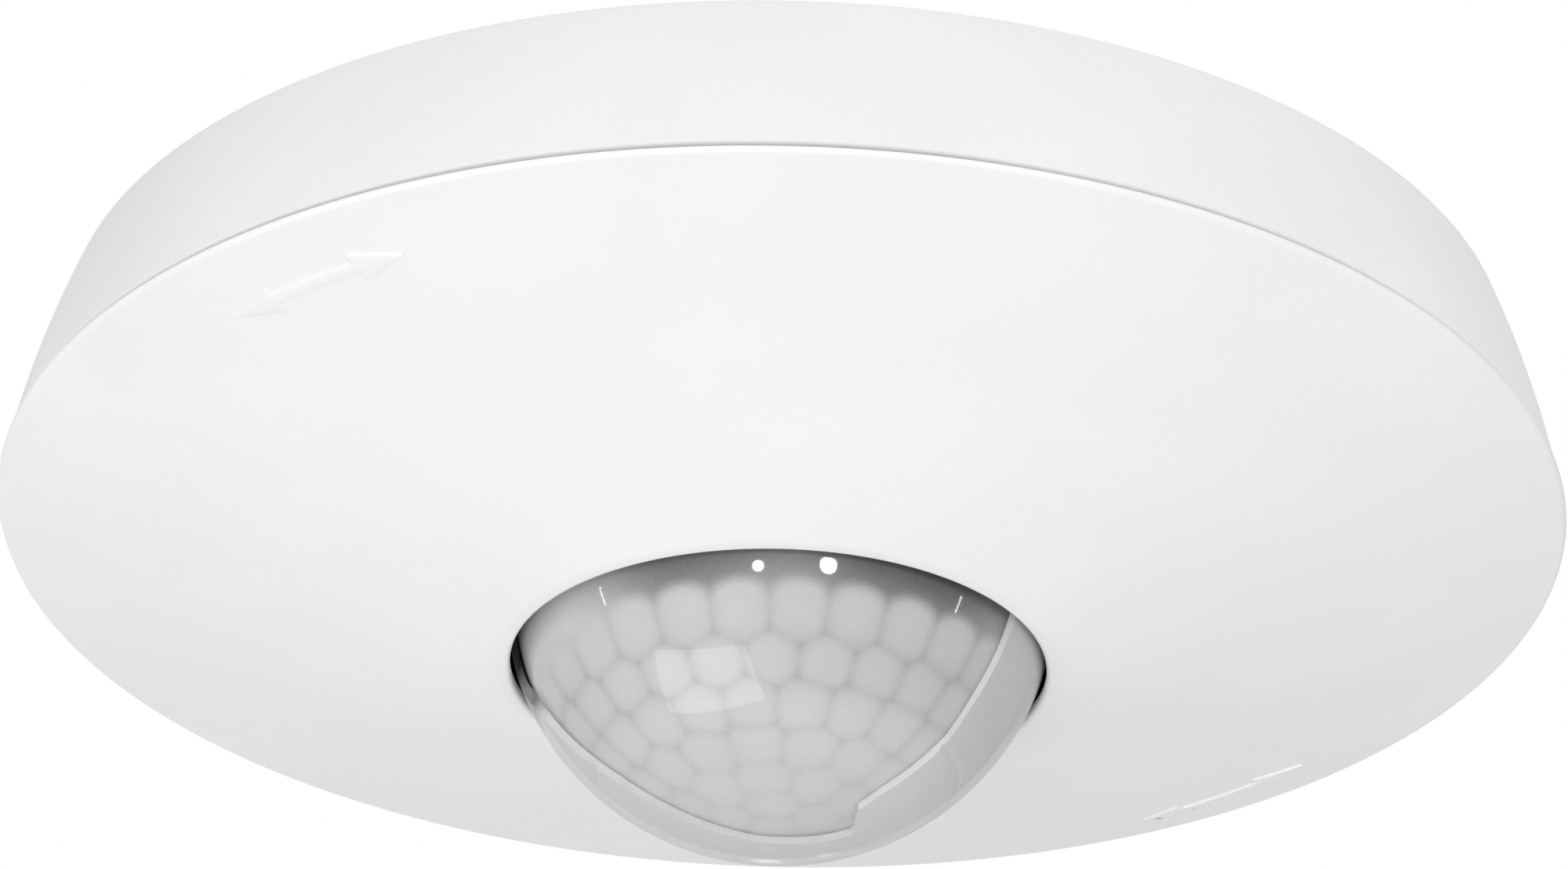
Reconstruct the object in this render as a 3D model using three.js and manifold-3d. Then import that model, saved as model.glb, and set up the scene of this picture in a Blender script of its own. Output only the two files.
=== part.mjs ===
// A surface-mounted ceiling motion sensor, as an assembly of separate pieces.
// Millimetres, +Z up into the ceiling. The origin is the centre of the ceiling face, so the sensor
// hangs below z = 0 with its lens facing -Z. Azimuths are degrees from -Y towards +X.
import * as THREE from "three";
import { mergeVertices } from "three/addons/utils/BufferGeometryUtils.js";
import Module from "manifold-3d";

const wasm = await Module();
wasm.setup();

// ---- Driving dimensions ----
const GAP = 0.3; // clearance between pieces that don't touch
const SEAT = 0.02; // clearance under a piece that stands on a board
const ROOT = 0.5; // how deep a rib, post or boss is rooted in the wall that carries it
const FINE = 48; // segments round a large turned piece
const MEDIUM = 32; // segments round the lens pieces
const COARSE = 14; // segments round a screw or a small round component

const SKIRT_TOP_RADIUS = 53.6; // against the ceiling
const SKIRT_LIP_RADIUS = 57.7; // at the shadow groove
const SKIRT_BULGE = 0.36; // how far the skirt bows out of a straight cone
const SKIRT_DEPTH = 14.0;
const WALL = 2.0;
const BACK_WALL = 2.4;

const COVER_RADIUS = 58;
const COVER_TOP = -14.4; // upper edge of the cover's rim, under the groove
const COVER_EDGE = 0.35; // height of the rim's upright edge
const COVER_ROUND = 0.6; // rounding between the edge and the cone
const COVER_THICKNESS = 1.8;
const HOLE_RADIUS = 19.68;
const HOLE_Z = -26.55; // lowest point of the lip round the lens opening
const LIP_WIDTH = 1.2;
const SPIGOT_RADIUS = 55; // upstanding lip that centres the cover in the skirt
const SPIGOT_TOP = -13.2;
const LEG_INNER = 49.2; // the cover's four legs, inside the locking ring
const LEG_OUTER = 50.6;
const LEG_TOP = -9.5;
const LEG_AZIMUTHS = [20, 110, 200, 290];
const LEG_SPAN = 11; // degrees

const ARROW_RADIUS = 52.8;
const ARROW_AZIMUTHS = [-39.5, 140.5];
const ARROW_HALF_SPAN = 8; // degrees from the middle to a tip
const ARROW_HEAD_SPAN = 4;
const ARROW_HEAD_WIDTH = 1.35; // half width of a head
const ARROW_SHAFT_WIDTH = 0.45; // half width of the shaft
const ARROW_RELIEF = 0.25;

const LEDGE_AZIMUTHS = [60, 180, 300]; // bayonet ledges inside the skirt
const LEDGE_SPAN = 50;
const LEDGE_INNER = 52.4;
const LEDGE_TOP = -11.4;
const LEDGE_BOTTOM = -12.9;
const RING_INNER = 50.9; // locking ring
const RING_BAND = 51.9;
const RING_FLANGE = 53.7;
const RING_TOP = -8.4;
const RING_BOTTOM = -13.6;
const FLANGE_TOP = -9.2;
const RIB_AZIMUTHS = [30, 90, 150, 210, 270, 330];

const POWER_BOARD_TOP = -3.8;
const BOARD_THICKNESS = 1.6;
const POWER_BOARD_RADIUS = 41;
const POWER_BOARD_FACE = POWER_BOARD_TOP - BOARD_THICKNESS;
const CONTROL_BOARD_TOP = -11.2;
const CONTROL_BOARD_RADIUS = 38;
const CONTROL_BOARD_FACE = CONTROL_BOARD_TOP - BOARD_THICKNESS;
const CONTROL_BOARD_REAR = 10; // the board's straight rear edge, in Y

const HOUSING_RADIUS = 44;
const HOUSING_WALL = 1.6;
const HOUSING_TOP = -3;
const HOUSING_FACE = -16.8; // the room side of the housing's plate
const HOUSING_PLATE = HOUSING_FACE + HOUSING_WALL;
const EAR_AZIMUTHS = [0, 150, 240];
const EAR_RADIUS = 46.8; // where the housing screws stand
const EAR_HALF = 2.7;
const EAR_LENGTH = 8;
const EAR_TOP = -10.1;
const EAR_BOTTOM = -12;

const CABLE_ENTRY = [-23.5, 24];
const CABLE_HOLE = 6.5;
const CABLE_BORE = 4.2; // through the grommet
const FIXING_RADIUS = 30; // the two fixing slots stand this far from the centre
const FIXING_AZIMUTHS = [90, 270];
const TERMINALS = 4;
const TERMINAL_PITCH = 5.4;
const TERMINAL_Y = [26.4, 35.4];
const TERMINAL_SCREW_Y = 30;
const TERMINAL_DEPTH = 8.6;

// What stands on the power board: where it is, and how far it hangs below the board.
const RELAY = { x: [15.6, 32], y: [11, 23.6], depth: 9, rebate: 0.4 };
const FILM_CAPACITOR = { x: [12.8, 24], y: [26.4, 32.4], depth: 8.8, corner: 1 };
const SMOOTHING_CAPACITOR = { x: -14.5, y: 14.5, radius: 4, depth: 9 };
const VARISTOR = { x: -19, y: -19, radius: 5, depth: 3.8 };
const FUSE = { y: -9, depth: 2.7, radius: 2.3, length: 19, capRadius: 2.6, capLength: 5 };
const CHOKE = { x: 19, y: -19, radius: 4.4, waist: 3.4, depth: 5 };
const HEADER = { x: [-7.6, 7.6], y: [3, 5.5] };

const RETAINER_AZIMUTHS = [0, 100, 260];
const RETAINER_SCREW_RADIUS = 27;

const LENS_CENTRE = -19.6; // centre of the lens ball
const LENS_OUTER = 19.7;
const LENS_THICKNESS = 0.7;
const MASK_INNER = 19.9;
const MASK_OUTER = 20.45;
const GASKET_BOTTOM = -17.5;
const LENS_FLANGE_TOP = -17.55;
const LENS_FLANGE_BOTTOM = -18.3;
const LENS_FLANGE_RADIUS = 22.6;
const MASK_RING_TOP = -18.6;
const MASK_RING_BOTTOM = -19.5;
const MASK_RING_RADIUS = 21.6;
const MASK_RING_POLAR = 86; // the mask is a closed ring beyond this angle from the pole
const MASK_END_RADIUS = 18.8; // plan radius where the mask's left end is snapped off
const MASK_END_AZIMUTHS = [-81, -92, -104, -116, -128];
// The mask's open window seen from below: in from the rim, past the pole, out and round.
const MASK_WINDOW = [
  [40, -40], [27, -13.8], [12.3, -5.8], [6.1, -2.8], [5.9, 0.7], [3.3, 1], [-1.3, 0.7],
  [-5.3, -0.3], [-8, -0.9], [-15.5, -1.4], [-17.3, -1.8], [-18.2, -2.8],
];

const DIAL_RADIUS = 33;
const DIAL_AZIMUTHS = { time: -34, lux: 34 };
const DIAL_KNOB = 3.6; // radius of a dial
const POT_HALF = 3.4; // half width of the potentiometer under a dial
const DIP_Y = -34;
const DIP_PITCH = 2.54;
const DIP_TRAVEL = 1.5;
const DIP_HALF = [5.6, 3.2]; // half length and half width of the switch block
const TEST_AZIMUTH = -66;
const TEST_RADIUS = 2.2;

const CUP_RADIUS = 11.6; // dark tube round the infrared sensor
const CUP_FLOOR = -18.6;
const CUP_BOTTOM = -22.5;
const BEZEL_RADIUS = 18.6;
const DIODE_AZIMUTHS = [90, 270];
const DIODE_PLACE = 8.4; // distance of the two diodes from the centre
const DIODE_RADIUS = 1.5;
const DIODE_LENGTH = 3.4; // to the start of the round nose

// ---- Geometry helpers ----
const radians = THREE.MathUtils.degToRad;

function at(radius, azimuth) {
  return [radius * Math.sin(radians(azimuth)), -radius * Math.cos(radians(azimuth))];
}

// Screw posts under the two boards.
const BOARD_POSTS = [at(34, 62), at(34, -62)];
const CONTROL_POSTS = [at(31, 84), at(31, -84)];

// A closed mesh as a manifold-3d solid, turned right side out.
function solid(geometry) {
  const bare = geometry.clone();
  for (const name of ["normal", "uv"]) bare.deleteAttribute(name);
  const merged = mergeVertices(bare, 1e-4);
  const position = merged.attributes.position;
  const corner = (i) => new THREE.Vector3().fromBufferAttribute(position, merged.index.array[i]);
  const triVerts = [];
  let volume = 0;
  for (let i = 0; i < merged.index.count; i += 3) {
    const [a, b, c] = [merged.index.array[i], merged.index.array[i + 1], merged.index.array[i + 2]];
    if (a === b || b === c || c === a) continue;
    triVerts.push(a, b, c);
    volume += corner(i).dot(corner(i + 1).cross(corner(i + 2)));
  }
  if (volume < 0) triVerts.reverse();
  const mesh = new wasm.Mesh({
    numProp: 3,
    vertProperties: new Float32Array(position.array),
    triVerts: new Uint32Array(triVerts),
  });
  return new wasm.Manifold(mesh);
}

function geometryOf(body) {
  const mesh = body.getMesh();
  return new THREE.BufferGeometry()
    .setAttribute("position", new THREE.BufferAttribute(new Float32Array(mesh.vertProperties), 3))
    .setIndex(new THREE.BufferAttribute(new Uint32Array(mesh.triVerts), 1));
}

// A closed [radius, z] profile turned about Z.
function turned(profile, segments = FINE) {
  const closed = [...profile, profile[0]].map(([r, z]) => new THREE.Vector2(r, z));
  return solid(new THREE.LatheGeometry(closed, segments).rotateX(Math.PI / 2));
}

function ring(inner, outer, top, bottom, segments = FINE) {
  return turned([[inner, bottom], [outer, bottom], [outer, top], [inner, top]], segments);
}

function cylinder(radius, top, bottom, x = 0, y = 0, segments = COARSE) {
  const shape = new THREE.CylinderGeometry(radius, radius, top - bottom, segments);
  return solid(shape.rotateX(Math.PI / 2).translate(x, y, (top + bottom) / 2));
}

function box([x0, x1], [y0, y1], [z0, z1]) {
  const shape = new THREE.BoxGeometry(x1 - x0, y1 - y0, z1 - z0);
  return solid(shape.translate((x0 + x1) / 2, (y0 + y1) / 2, (z0 + z1) / 2));
}

function plate(shape, top, bottom, curveSegments = 12) {
  const options = { depth: top - bottom, bevelEnabled: false, curveSegments };
  return solid(new THREE.ExtrudeGeometry(shape, options).translate(0, 0, bottom));
}

// A piece of a ring between two azimuths.
function sector(inner, outer, from, to, top, bottom) {
  const shape = new THREE.Shape();
  const [start, end] = [radians(from - 90), radians(to - 90)];
  shape.absarc(0, 0, outer, start, end, false);
  shape.absarc(0, 0, inner, end, start, true);
  shape.closePath();
  return plate(shape, top, bottom, Math.max(2, Math.ceil((to - from) / 6)));
}

// A slot with round ends, its length along the azimuth's radial line.
function slot(length, radius, centre, azimuth, top, bottom) {
  const half = length / 2 - radius;
  const shape = new THREE.Shape();
  shape.absarc(half, 0, radius, -Math.PI / 2, Math.PI / 2, false);
  shape.absarc(-half, 0, radius, Math.PI / 2, Math.PI * 1.5, false);
  shape.closePath();
  const options = { depth: top - bottom, bevelEnabled: false, curveSegments: 8 };
  const [x, y] = at(centre, azimuth);
  const slab = new THREE.ExtrudeGeometry(shape, options);
  return solid(slab.rotateZ(radians(azimuth - 90)).translate(x, y, bottom));
}

function join(...bodies) {
  return bodies.reduce((whole, body) => whole.add(body));
}

function cut(body, ...tools) {
  return tools.reduce((left, tool) => left.subtract(tool), body);
}

// A screw seen from below: round head, cross recess, plain shank above the head.
function screw(x, y, headRadius, headTop, headDepth, shankRadius, shankTop) {
  const head = cylinder(headRadius, headTop, headTop - headDepth, x, y);
  const shank = cylinder(shankRadius, shankTop, headTop - headDepth / 2, x, y, 8);
  const arm = headRadius * 0.62;
  const half = headRadius * 0.14;
  const recess = [headTop - headDepth * 1.5, headTop - headDepth * 0.5];
  const crossX = box([x - arm, x + arm], [y - half, y + half], recess);
  const crossY = box([x - half, x + half], [y - arm, y + arm], recess);
  return cut(join(head, shank), crossX, crossY);
}

// ---- The assembly ----
const sensor = new THREE.Group();
sensor.name = "ceiling_motion_sensor";

const FINISHES = {
  whitePlastic: { color: 0xf2f1ee, roughness: 0.5, metalness: 0 },
  innerPlastic: { color: 0xe4e3df, roughness: 0.6, metalness: 0 },
  milkyLens: { color: 0xcfcfcb, roughness: 0.25, metalness: 0, transparent: true, opacity: 0.9 },
  maskPlastic: { color: 0xc4c4c0, roughness: 0.4, metalness: 0, transparent: true, opacity: 0.6 },
  blackPlastic: { color: 0x161616, roughness: 0.55, metalness: 0 },
  rubber: { color: 0x3c3c3b, roughness: 0.9, metalness: 0 },
  seal: { color: 0x8d8d8a, roughness: 0.95, metalness: 0 },
  board: { color: 0x1d5a36, roughness: 0.5, metalness: 0 },
  steel: { color: 0xb6b8ba, roughness: 0.35, metalness: 1 },
  terminalGreen: { color: 0x4c8a5c, roughness: 0.5, metalness: 0 },
  relayBlue: { color: 0x2c5f9e, roughness: 0.4, metalness: 0 },
  capacitorYellow: { color: 0xd8b13a, roughness: 0.45, metalness: 0 },
  varistorBlue: { color: 0x2f4f9c, roughness: 0.5, metalness: 0 },
  fuseGlass: { color: 0xbfc7c2, roughness: 0.15, metalness: 0 },
  filter: { color: 0x2b2622, roughness: 0.2, metalness: 0 },
  diode: { color: 0xe8e6dd, roughness: 0.2, metalness: 0 },
  redDiode: { color: 0xb92a22, roughness: 0.25, metalness: 0 },
  dialOrange: { color: 0xd9762b, roughness: 0.5, metalness: 0 },
  dipRed: { color: 0xa5312a, roughness: 0.5, metalness: 0 },
};

function add(name, finish, body) {
  const mesh = new THREE.Mesh(geometryOf(body), new THREE.MeshStandardMaterial(FINISHES[finish]));
  mesh.name = name;
  sensor.add(mesh);
}

// ---- Casing fixed to the ceiling ----
function skirtRadius(depth) {
  const share = depth / SKIRT_DEPTH;
  const bulge = 4 * SKIRT_BULGE * share * (1 - share);
  return SKIRT_TOP_RADIUS + (SKIRT_LIP_RADIUS - SKIRT_TOP_RADIUS) * share + bulge;
}

function backBox() {
  const depths = [0, 3.5, 7, 10.5, SKIRT_DEPTH];
  const outside = depths.map((depth) => [skirtRadius(depth), -depth]);
  const inside = [SKIRT_DEPTH, 7, BACK_WALL].map((depth) => [skirtRadius(depth) - WALL, -depth]);
  const shell = turned([[0.001, 0], ...outside, ...inside, [0.001, -BACK_WALL]]);
  const core = cylinder(5, 0, -BACK_WALL, 0, 0, 24);
  const ribs = RIB_AZIMUTHS.map((azimuth) => {
    const outer = skirtRadius(BACK_WALL) - WALL + ROOT;
    return sector(RING_INNER, outer, azimuth - 1, azimuth + 1, -BACK_WALL + ROOT, RING_TOP + GAP);
  });
  const ledges = LEDGE_AZIMUTHS.map((azimuth) => {
    const [from, to] = [azimuth - LEDGE_SPAN / 2, azimuth + LEDGE_SPAN / 2];
    return sector(LEDGE_INNER, skirtRadius(11) - WALL + ROOT, from, to, LEDGE_TOP, LEDGE_BOTTOM);
  });
  const earPosts = EAR_AZIMUTHS.map((azimuth) =>
    cylinder(EAR_HALF, -BACK_WALL + ROOT, EAR_TOP + GAP, ...at(EAR_RADIUS, azimuth)),
  );
  const boardPosts = BOARD_POSTS.map(([x, y]) =>
    cylinder(3, -BACK_WALL + ROOT, POWER_BOARD_TOP + GAP / 2, x, y),
  );
  const screwSlots = FIXING_AZIMUTHS.map((azimuth) =>
    slot(11, 2.2, FIXING_RADIUS, azimuth, 1, -BACK_WALL - 1),
  );
  const sealGroove = ring(47.9, 50.5, 1, -1.3);
  const knockOut = ring(6.4, 7.2, 1, -1.4, 32);
  const cableHole = cylinder(CABLE_HOLE, 1, -BACK_WALL - 1, ...CABLE_ENTRY, 24);
  const pilots = EAR_AZIMUTHS.map((azimuth) =>
    cylinder(1.3, -4.4, -12, ...at(EAR_RADIUS, azimuth), 12),
  );
  const boardPilots = BOARD_POSTS.map(([x, y]) => cylinder(1.2, -1.2, -6, x, y, 12));
  const whole = join(shell, core, ...ribs, ...ledges, ...earPosts, ...boardPosts);
  return cut(whole, ...screwSlots, sealGroove, knockOut, cableHole, ...pilots, ...boardPilots);
}

function cableGrommet() {
  const neck = CABLE_HOLE - GAP;
  const flange = neck + 1.8;
  const profile = [
    [CABLE_BORE, -0.2], [neck, -0.2], [neck, -2.7], [flange, -2.7],
    [flange, -3.7], [neck - 0.6, -4], [CABLE_BORE, -5.4],
  ];
  return turned(profile, 20).translate([...CABLE_ENTRY, 0]);
}

// ---- Power board and what stands on it ----
function powerBoard() {
  const disc = cylinder(POWER_BOARD_RADIUS, POWER_BOARD_TOP, POWER_BOARD_FACE, 0, 0, FINE);
  const wiringBay = cylinder(CABLE_HOLE + 2.2, 0, -10, ...CABLE_ENTRY, 24);
  const fixingBays = FIXING_AZIMUTHS.map((azimuth) => slot(15, 4.5, FIXING_RADIUS, azimuth, 0, -10));
  const holes = BOARD_POSTS.map(([x, y]) => cylinder(1.7, 0, -10, x, y, 12));
  return cut(disc, wiringBay, ...fixingBays, ...holes);
}

function terminalBlock() {
  const width = TERMINALS * TERMINAL_PITCH;
  const [top, bottom] = [POWER_BOARD_FACE - SEAT, POWER_BOARD_FACE - TERMINAL_DEPTH];
  const body = box([-width / 2, width / 2], TERMINAL_Y, [bottom, top]);
  const cuts = terminalPlaces().flatMap((x) => [
    cylinder(2, bottom + 4, bottom - 1, x, TERMINAL_SCREW_Y),
    box([x - 1.7, x + 1.7], [TERMINAL_Y[1] - 4, TERMINAL_Y[1] + 1], [top - 4.4, top - 1]),
  ]);
  const chamfer = solid(
    new THREE.BoxGeometry(width + 2, 3, 3).rotateX(Math.PI / 4).translate(0, TERMINAL_Y[1], bottom),
  );
  return cut(body, ...cuts, chamfer);
}

function terminalPlaces() {
  const first = -((TERMINALS - 1) * TERMINAL_PITCH) / 2;
  return Array.from({ length: TERMINALS }, (_, i) => first + i * TERMINAL_PITCH);
}

function terminalScrew(x) {
  const bottom = POWER_BOARD_FACE - TERMINAL_DEPTH + 0.8;
  const head = cylinder(1.7, bottom + 2.6, bottom, x, TERMINAL_SCREW_Y);
  const across = [TERMINAL_SCREW_Y - 0.4, TERMINAL_SCREW_Y + 0.4];
  return cut(head, box([x - 2, x + 2], across, [bottom - 1, bottom + 0.8]));
}

function relay() {
  const { x, y, depth, rebate } = RELAY;
  const bottom = POWER_BOARD_FACE - depth;
  const body = box(x, y, [bottom, POWER_BOARD_FACE - SEAT]);
  const frame = cut(
    box([x[0] - 1, x[1] + 1], [y[0] - 1, y[1] + 1], [bottom - 1, bottom + rebate]),
    box([x[0] + 0.6, x[1] - 0.6], [y[0] + 0.6, y[1] - 0.6], [bottom - 2, 0]),
  );
  return cut(body, frame);
}

function filmCapacitor() {
  const { x, y, depth, corner } = FILM_CAPACITOR;
  const shape = new THREE.Shape();
  shape.absarc(x[0] + corner, y[0] + corner, corner, Math.PI, Math.PI * 1.5, false);
  shape.absarc(x[1] - corner, y[0] + corner, corner, -Math.PI / 2, 0, false);
  shape.absarc(x[1] - corner, y[1] - corner, corner, 0, Math.PI / 2, false);
  shape.absarc(x[0] + corner, y[1] - corner, corner, Math.PI / 2, Math.PI, false);
  shape.closePath();
  return plate(shape, POWER_BOARD_FACE - SEAT, POWER_BOARD_FACE - depth, 3);
}

function smoothingCapacitor() {
  const { x, y, radius, depth } = SMOOTHING_CAPACITOR;
  const can = cylinder(radius, POWER_BOARD_FACE - SEAT, POWER_BOARD_FACE - depth, x, y, 16);
  const crimpDepth = [POWER_BOARD_FACE - 1.4, POWER_BOARD_FACE - 2];
  const crimp = ring(radius - 0.4, radius + 1, ...crimpDepth, 16);
  return cut(can, crimp.translate([x, y, 0]));
}

function varistor() {
  const { x, y, radius, depth } = VARISTOR;
  return cylinder(radius, POWER_BOARD_FACE - 0.05, POWER_BOARD_FACE - 0.05 - depth, x, y, 18);
}

// A glass tube with a metal cap on each end, lying along X.
function fuse() {
  const lay = (radius, length, x) => {
    const tube = new THREE.CylinderGeometry(radius, radius, length, COARSE);
    return solid(tube.rotateZ(Math.PI / 2).translate(x, FUSE.y, POWER_BOARD_FACE - FUSE.depth));
  };
  const capPlace = (FUSE.length + 1 - FUSE.capLength) / 2;
  const caps = [-capPlace, capPlace].map((x) => lay(FUSE.capRadius, FUSE.capLength, x));
  return join(lay(FUSE.radius, FUSE.length, 0), ...caps);
}

function choke() {
  const { x, y, radius, waist, depth } = CHOKE;
  const profile = [
    [0, -SEAT], [radius, -SEAT], [radius, -0.8], [waist, -1], [waist, 1 - depth],
    [radius, 0.8 - depth], [radius, -depth], [0, -depth],
  ];
  return turned(profile, 16).translate([x, y, POWER_BOARD_FACE]);
}

function boardHeader() {
  return box(HEADER.x, HEADER.y, [CONTROL_BOARD_TOP + SEAT, POWER_BOARD_FACE - SEAT]);
}

// ---- Inner housing and control board ----
function moduleHousing() {
  const profile = [
    [HOUSING_RADIUS - HOUSING_WALL, HOUSING_TOP], [HOUSING_RADIUS - HOUSING_WALL, HOUSING_PLATE],
    [12, HOUSING_PLATE], [12, HOUSING_FACE], [HOUSING_RADIUS - 0.8, HOUSING_FACE],
    [HOUSING_RADIUS, HOUSING_FACE + 0.8], [HOUSING_RADIUS, HOUSING_TOP],
  ];
  const shell = turned(profile);
  const ears = EAR_AZIMUTHS.map((azimuth) =>
    slot(EAR_LENGTH, EAR_HALF, EAR_RADIUS + EAR_HALF - EAR_LENGTH / 2, azimuth, EAR_TOP, EAR_BOTTOM),
  );
  const cavity = cylinder(HOUSING_RADIUS - HOUSING_WALL, HOUSING_TOP + 1, HOUSING_PLATE, 0, 0, FINE);
  const postRelief = EAR_AZIMUTHS.map((azimuth) =>
    cylinder(EAR_HALF + GAP, 0, EAR_TOP, ...at(EAR_RADIUS, azimuth)),
  );
  const posts = CONTROL_POSTS.map(([x, y]) =>
    cylinder(2.4, CONTROL_BOARD_FACE - SEAT, HOUSING_PLATE - ROOT, x, y, 12),
  );
  const bosses = RETAINER_AZIMUTHS.map((azimuth) =>
    cylinder(2.2, HOUSING_PLATE + 1.4, HOUSING_PLATE - ROOT, ...at(RETAINER_SCREW_RADIUS, azimuth), 16),
  );
  const earHoles = EAR_AZIMUTHS.map((azimuth) =>
    cylinder(1.7, 0, -14, ...at(EAR_RADIUS, azimuth), 12),
  );
  const controlHoles = CONTROL_POSTS.map(([x, y]) => cylinder(1.1, -11, -16, x, y, 8));
  const retainerHoles = RETAINER_AZIMUTHS.map((azimuth) =>
    cylinder(1.2, -13, -20, ...at(RETAINER_SCREW_RADIUS, azimuth), 12),
  );
  const dialHoles = Object.values(DIAL_AZIMUTHS).map((azimuth) =>
    cylinder(DIAL_KNOB + 0.4, 0, -20, ...at(DIAL_RADIUS, azimuth), 28),
  );
  const [dipX, dipY] = [DIP_HALF[0] + 0.4, DIP_HALF[1] + 0.4];
  const dipHole = box([-dipX, dipX], [DIP_Y - dipY, DIP_Y + dipY], [-20, -14]);
  const testHole = cylinder(TEST_RADIUS + 0.4, 0, -20, ...at(DIAL_RADIUS, TEST_AZIMUTH), 20);
  const terminalDoor = box([-12, 12], [25.4, 37.4], [-20, HOUSING_PLATE + 1]);
  const whole = join(cut(join(shell, ...ears), cavity), ...posts, ...bosses);
  return cut(
    whole, ...postRelief, ...earHoles, ...controlHoles, ...retainerHoles, ...dialHoles,
    dipHole, testHole, terminalDoor,
  );
}

function controlBoard() {
  const disc = cylinder(CONTROL_BOARD_RADIUS, CONTROL_BOARD_TOP, CONTROL_BOARD_FACE, 0, 0, 40);
  const rear = box([-50, 50], [CONTROL_BOARD_REAR, 50], [-20, 0]);
  const holes = CONTROL_POSTS.map(([x, y]) => cylinder(1.5, 0, -20, x, y, 12));
  return cut(disc, rear, ...holes);
}

function controlScrew([x, y]) {
  const head = cylinder(2, CONTROL_BOARD_TOP + 1.5, CONTROL_BOARD_TOP + 0.05, x, y, 16);
  const shank = cylinder(0.8, CONTROL_BOARD_TOP + 0.5, CONTROL_BOARD_FACE - 2, x, y, 12);
  const groove = box([x - 1.3, x + 1.3], [y - 0.25, y + 0.25], [CONTROL_BOARD_TOP + 0.9, 0]);
  return cut(join(head, shank), groove);
}

function pirSensor() {
  const top = CONTROL_BOARD_FACE - SEAT;
  const profile = [
    [0, top], [4.6, top], [4.6, top - 2.6], [4.1, top - 2.8], [4.1, top - 6.4],
    [3.8, top - 6.7], [2.6, top - 6.7], [2.6, top - 6.2], [0, top - 6.2],
  ];
  return turned(profile, 20);
}

// The dark tube round the infrared sensor, with two eyes for the diodes in its floor.
function sensorCup() {
  const floor = [CONTROL_BOARD_FACE - 0.2, CUP_FLOOR];
  const profile = [
    [5, floor[0]], [CUP_RADIUS, floor[0]], [CUP_RADIUS, CUP_BOTTOM], [CUP_RADIUS - 0.9, CUP_BOTTOM],
    [CUP_RADIUS - 0.9, floor[1]], [7, floor[1]], [5, floor[1] + 0.6],
  ];
  const eyes = DIODE_AZIMUTHS.map((azimuth) =>
    cylinder(DIODE_RADIUS + 0.4, -10, -20, ...at(DIODE_PLACE, azimuth), 16),
  );
  return cut(turned(profile, MEDIUM), ...eyes);
}

// A pale ring closing the space between the tube and the lens.
function sensorBezel() {
  const inner = CUP_RADIUS + GAP;
  const profile = [
    [inner, HOUSING_FACE - GAP], [BEZEL_RADIUS, HOUSING_FACE - GAP], [BEZEL_RADIUS, CUP_FLOOR + 0.4],
    [BEZEL_RADIUS - 1, CUP_FLOOR], [inner, CUP_FLOOR],
  ];
  return turned(profile, MEDIUM);
}

// A round-nosed diode standing on the control board.
function diode(azimuth) {
  const top = CONTROL_BOARD_FACE - SEAT;
  const shoulder = top - DIODE_LENGTH;
  const nose = [0, 30, 60].map((angle) => [
    DIODE_RADIUS * Math.cos(radians(angle)), shoulder - DIODE_RADIUS * Math.sin(radians(angle)),
  ]);
  const profile = [[0, top], [DIODE_RADIUS, top], ...nose, [0, shoulder - DIODE_RADIUS]];
  const [x, y] = at(DIODE_PLACE, azimuth);
  return turned(profile, 16).translate([x, y, 0]);
}

// ---- Settings behind the cover ----
function potentiometer(azimuth) {
  const [x, y] = at(DIAL_RADIUS, azimuth);
  const [top, bottom] = [CONTROL_BOARD_FACE - SEAT, HOUSING_PLATE + 0.1];
  return box([x - POT_HALF, x + POT_HALF], [y - POT_HALF, y + POT_HALF], [bottom, top]);
}

function dial(azimuth) {
  const [x, y] = at(DIAL_RADIUS, azimuth);
  const top = HOUSING_PLATE - 0.1;
  const bottom = HOUSING_FACE - 1.6;
  const knob = cylinder(DIAL_KNOB, top, bottom, x, y, 24);
  const arrowSlot = box([x - 2.8, x + 2.8], [y - 0.5, y + 0.5], [bottom - 1, bottom + 1.1]);
  const flutes = Array.from({ length: 12 }, (_, i) => {
    const [alongX, alongY] = at(DIAL_KNOB + 0.1, 30 * i + 15);
    return cylinder(0.4, bottom + 2, bottom - 1, x + alongX, y + alongY, 6);
  });
  return cut(knob, arrowSlot, ...flutes);
}

function dipPlaces() {
  return [-1.5, -0.5, 0.5, 1.5].map((step) => step * DIP_PITCH);
}

function dipBlock() {
  const [length, width] = DIP_HALF;
  const height = [HOUSING_FACE - 0.6, CONTROL_BOARD_FACE - SEAT];
  const body = box([-length, length], [DIP_Y - width, DIP_Y + width], height);
  const tracks = dipPlaces().map((x) =>
    box([x - 0.75, x + 0.75], [DIP_Y - 2, DIP_Y + 2], [HOUSING_FACE - 1, HOUSING_FACE + 0.8]),
  );
  return cut(body, ...tracks);
}

function dipSlider(x) {
  const low = DIP_Y - 1.75;
  return box([x - 0.6, x + 0.6], [low, low + 3.5 - DIP_TRAVEL], [HOUSING_FACE - 1.2, HOUSING_FACE + 0.5]);
}

function testSwitch() {
  const [x, y] = at(DIAL_RADIUS, TEST_AZIMUTH);
  return box([x - 3, x + 3], [y - 3, y + 3], [HOUSING_PLATE + 0.6, CONTROL_BOARD_FACE - SEAT]);
}

function testButton() {
  const [x, y] = at(DIAL_RADIUS, TEST_AZIMUTH);
  const profile = [
    [0, HOUSING_PLATE], [TEST_RADIUS, HOUSING_PLATE], [TEST_RADIUS, HOUSING_FACE - 0.7],
    [TEST_RADIUS - 0.4, HOUSING_FACE - 1.1], [0, HOUSING_FACE - 1.1],
  ];
  return turned(profile, 20).translate([x, y, 0]);
}

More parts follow.
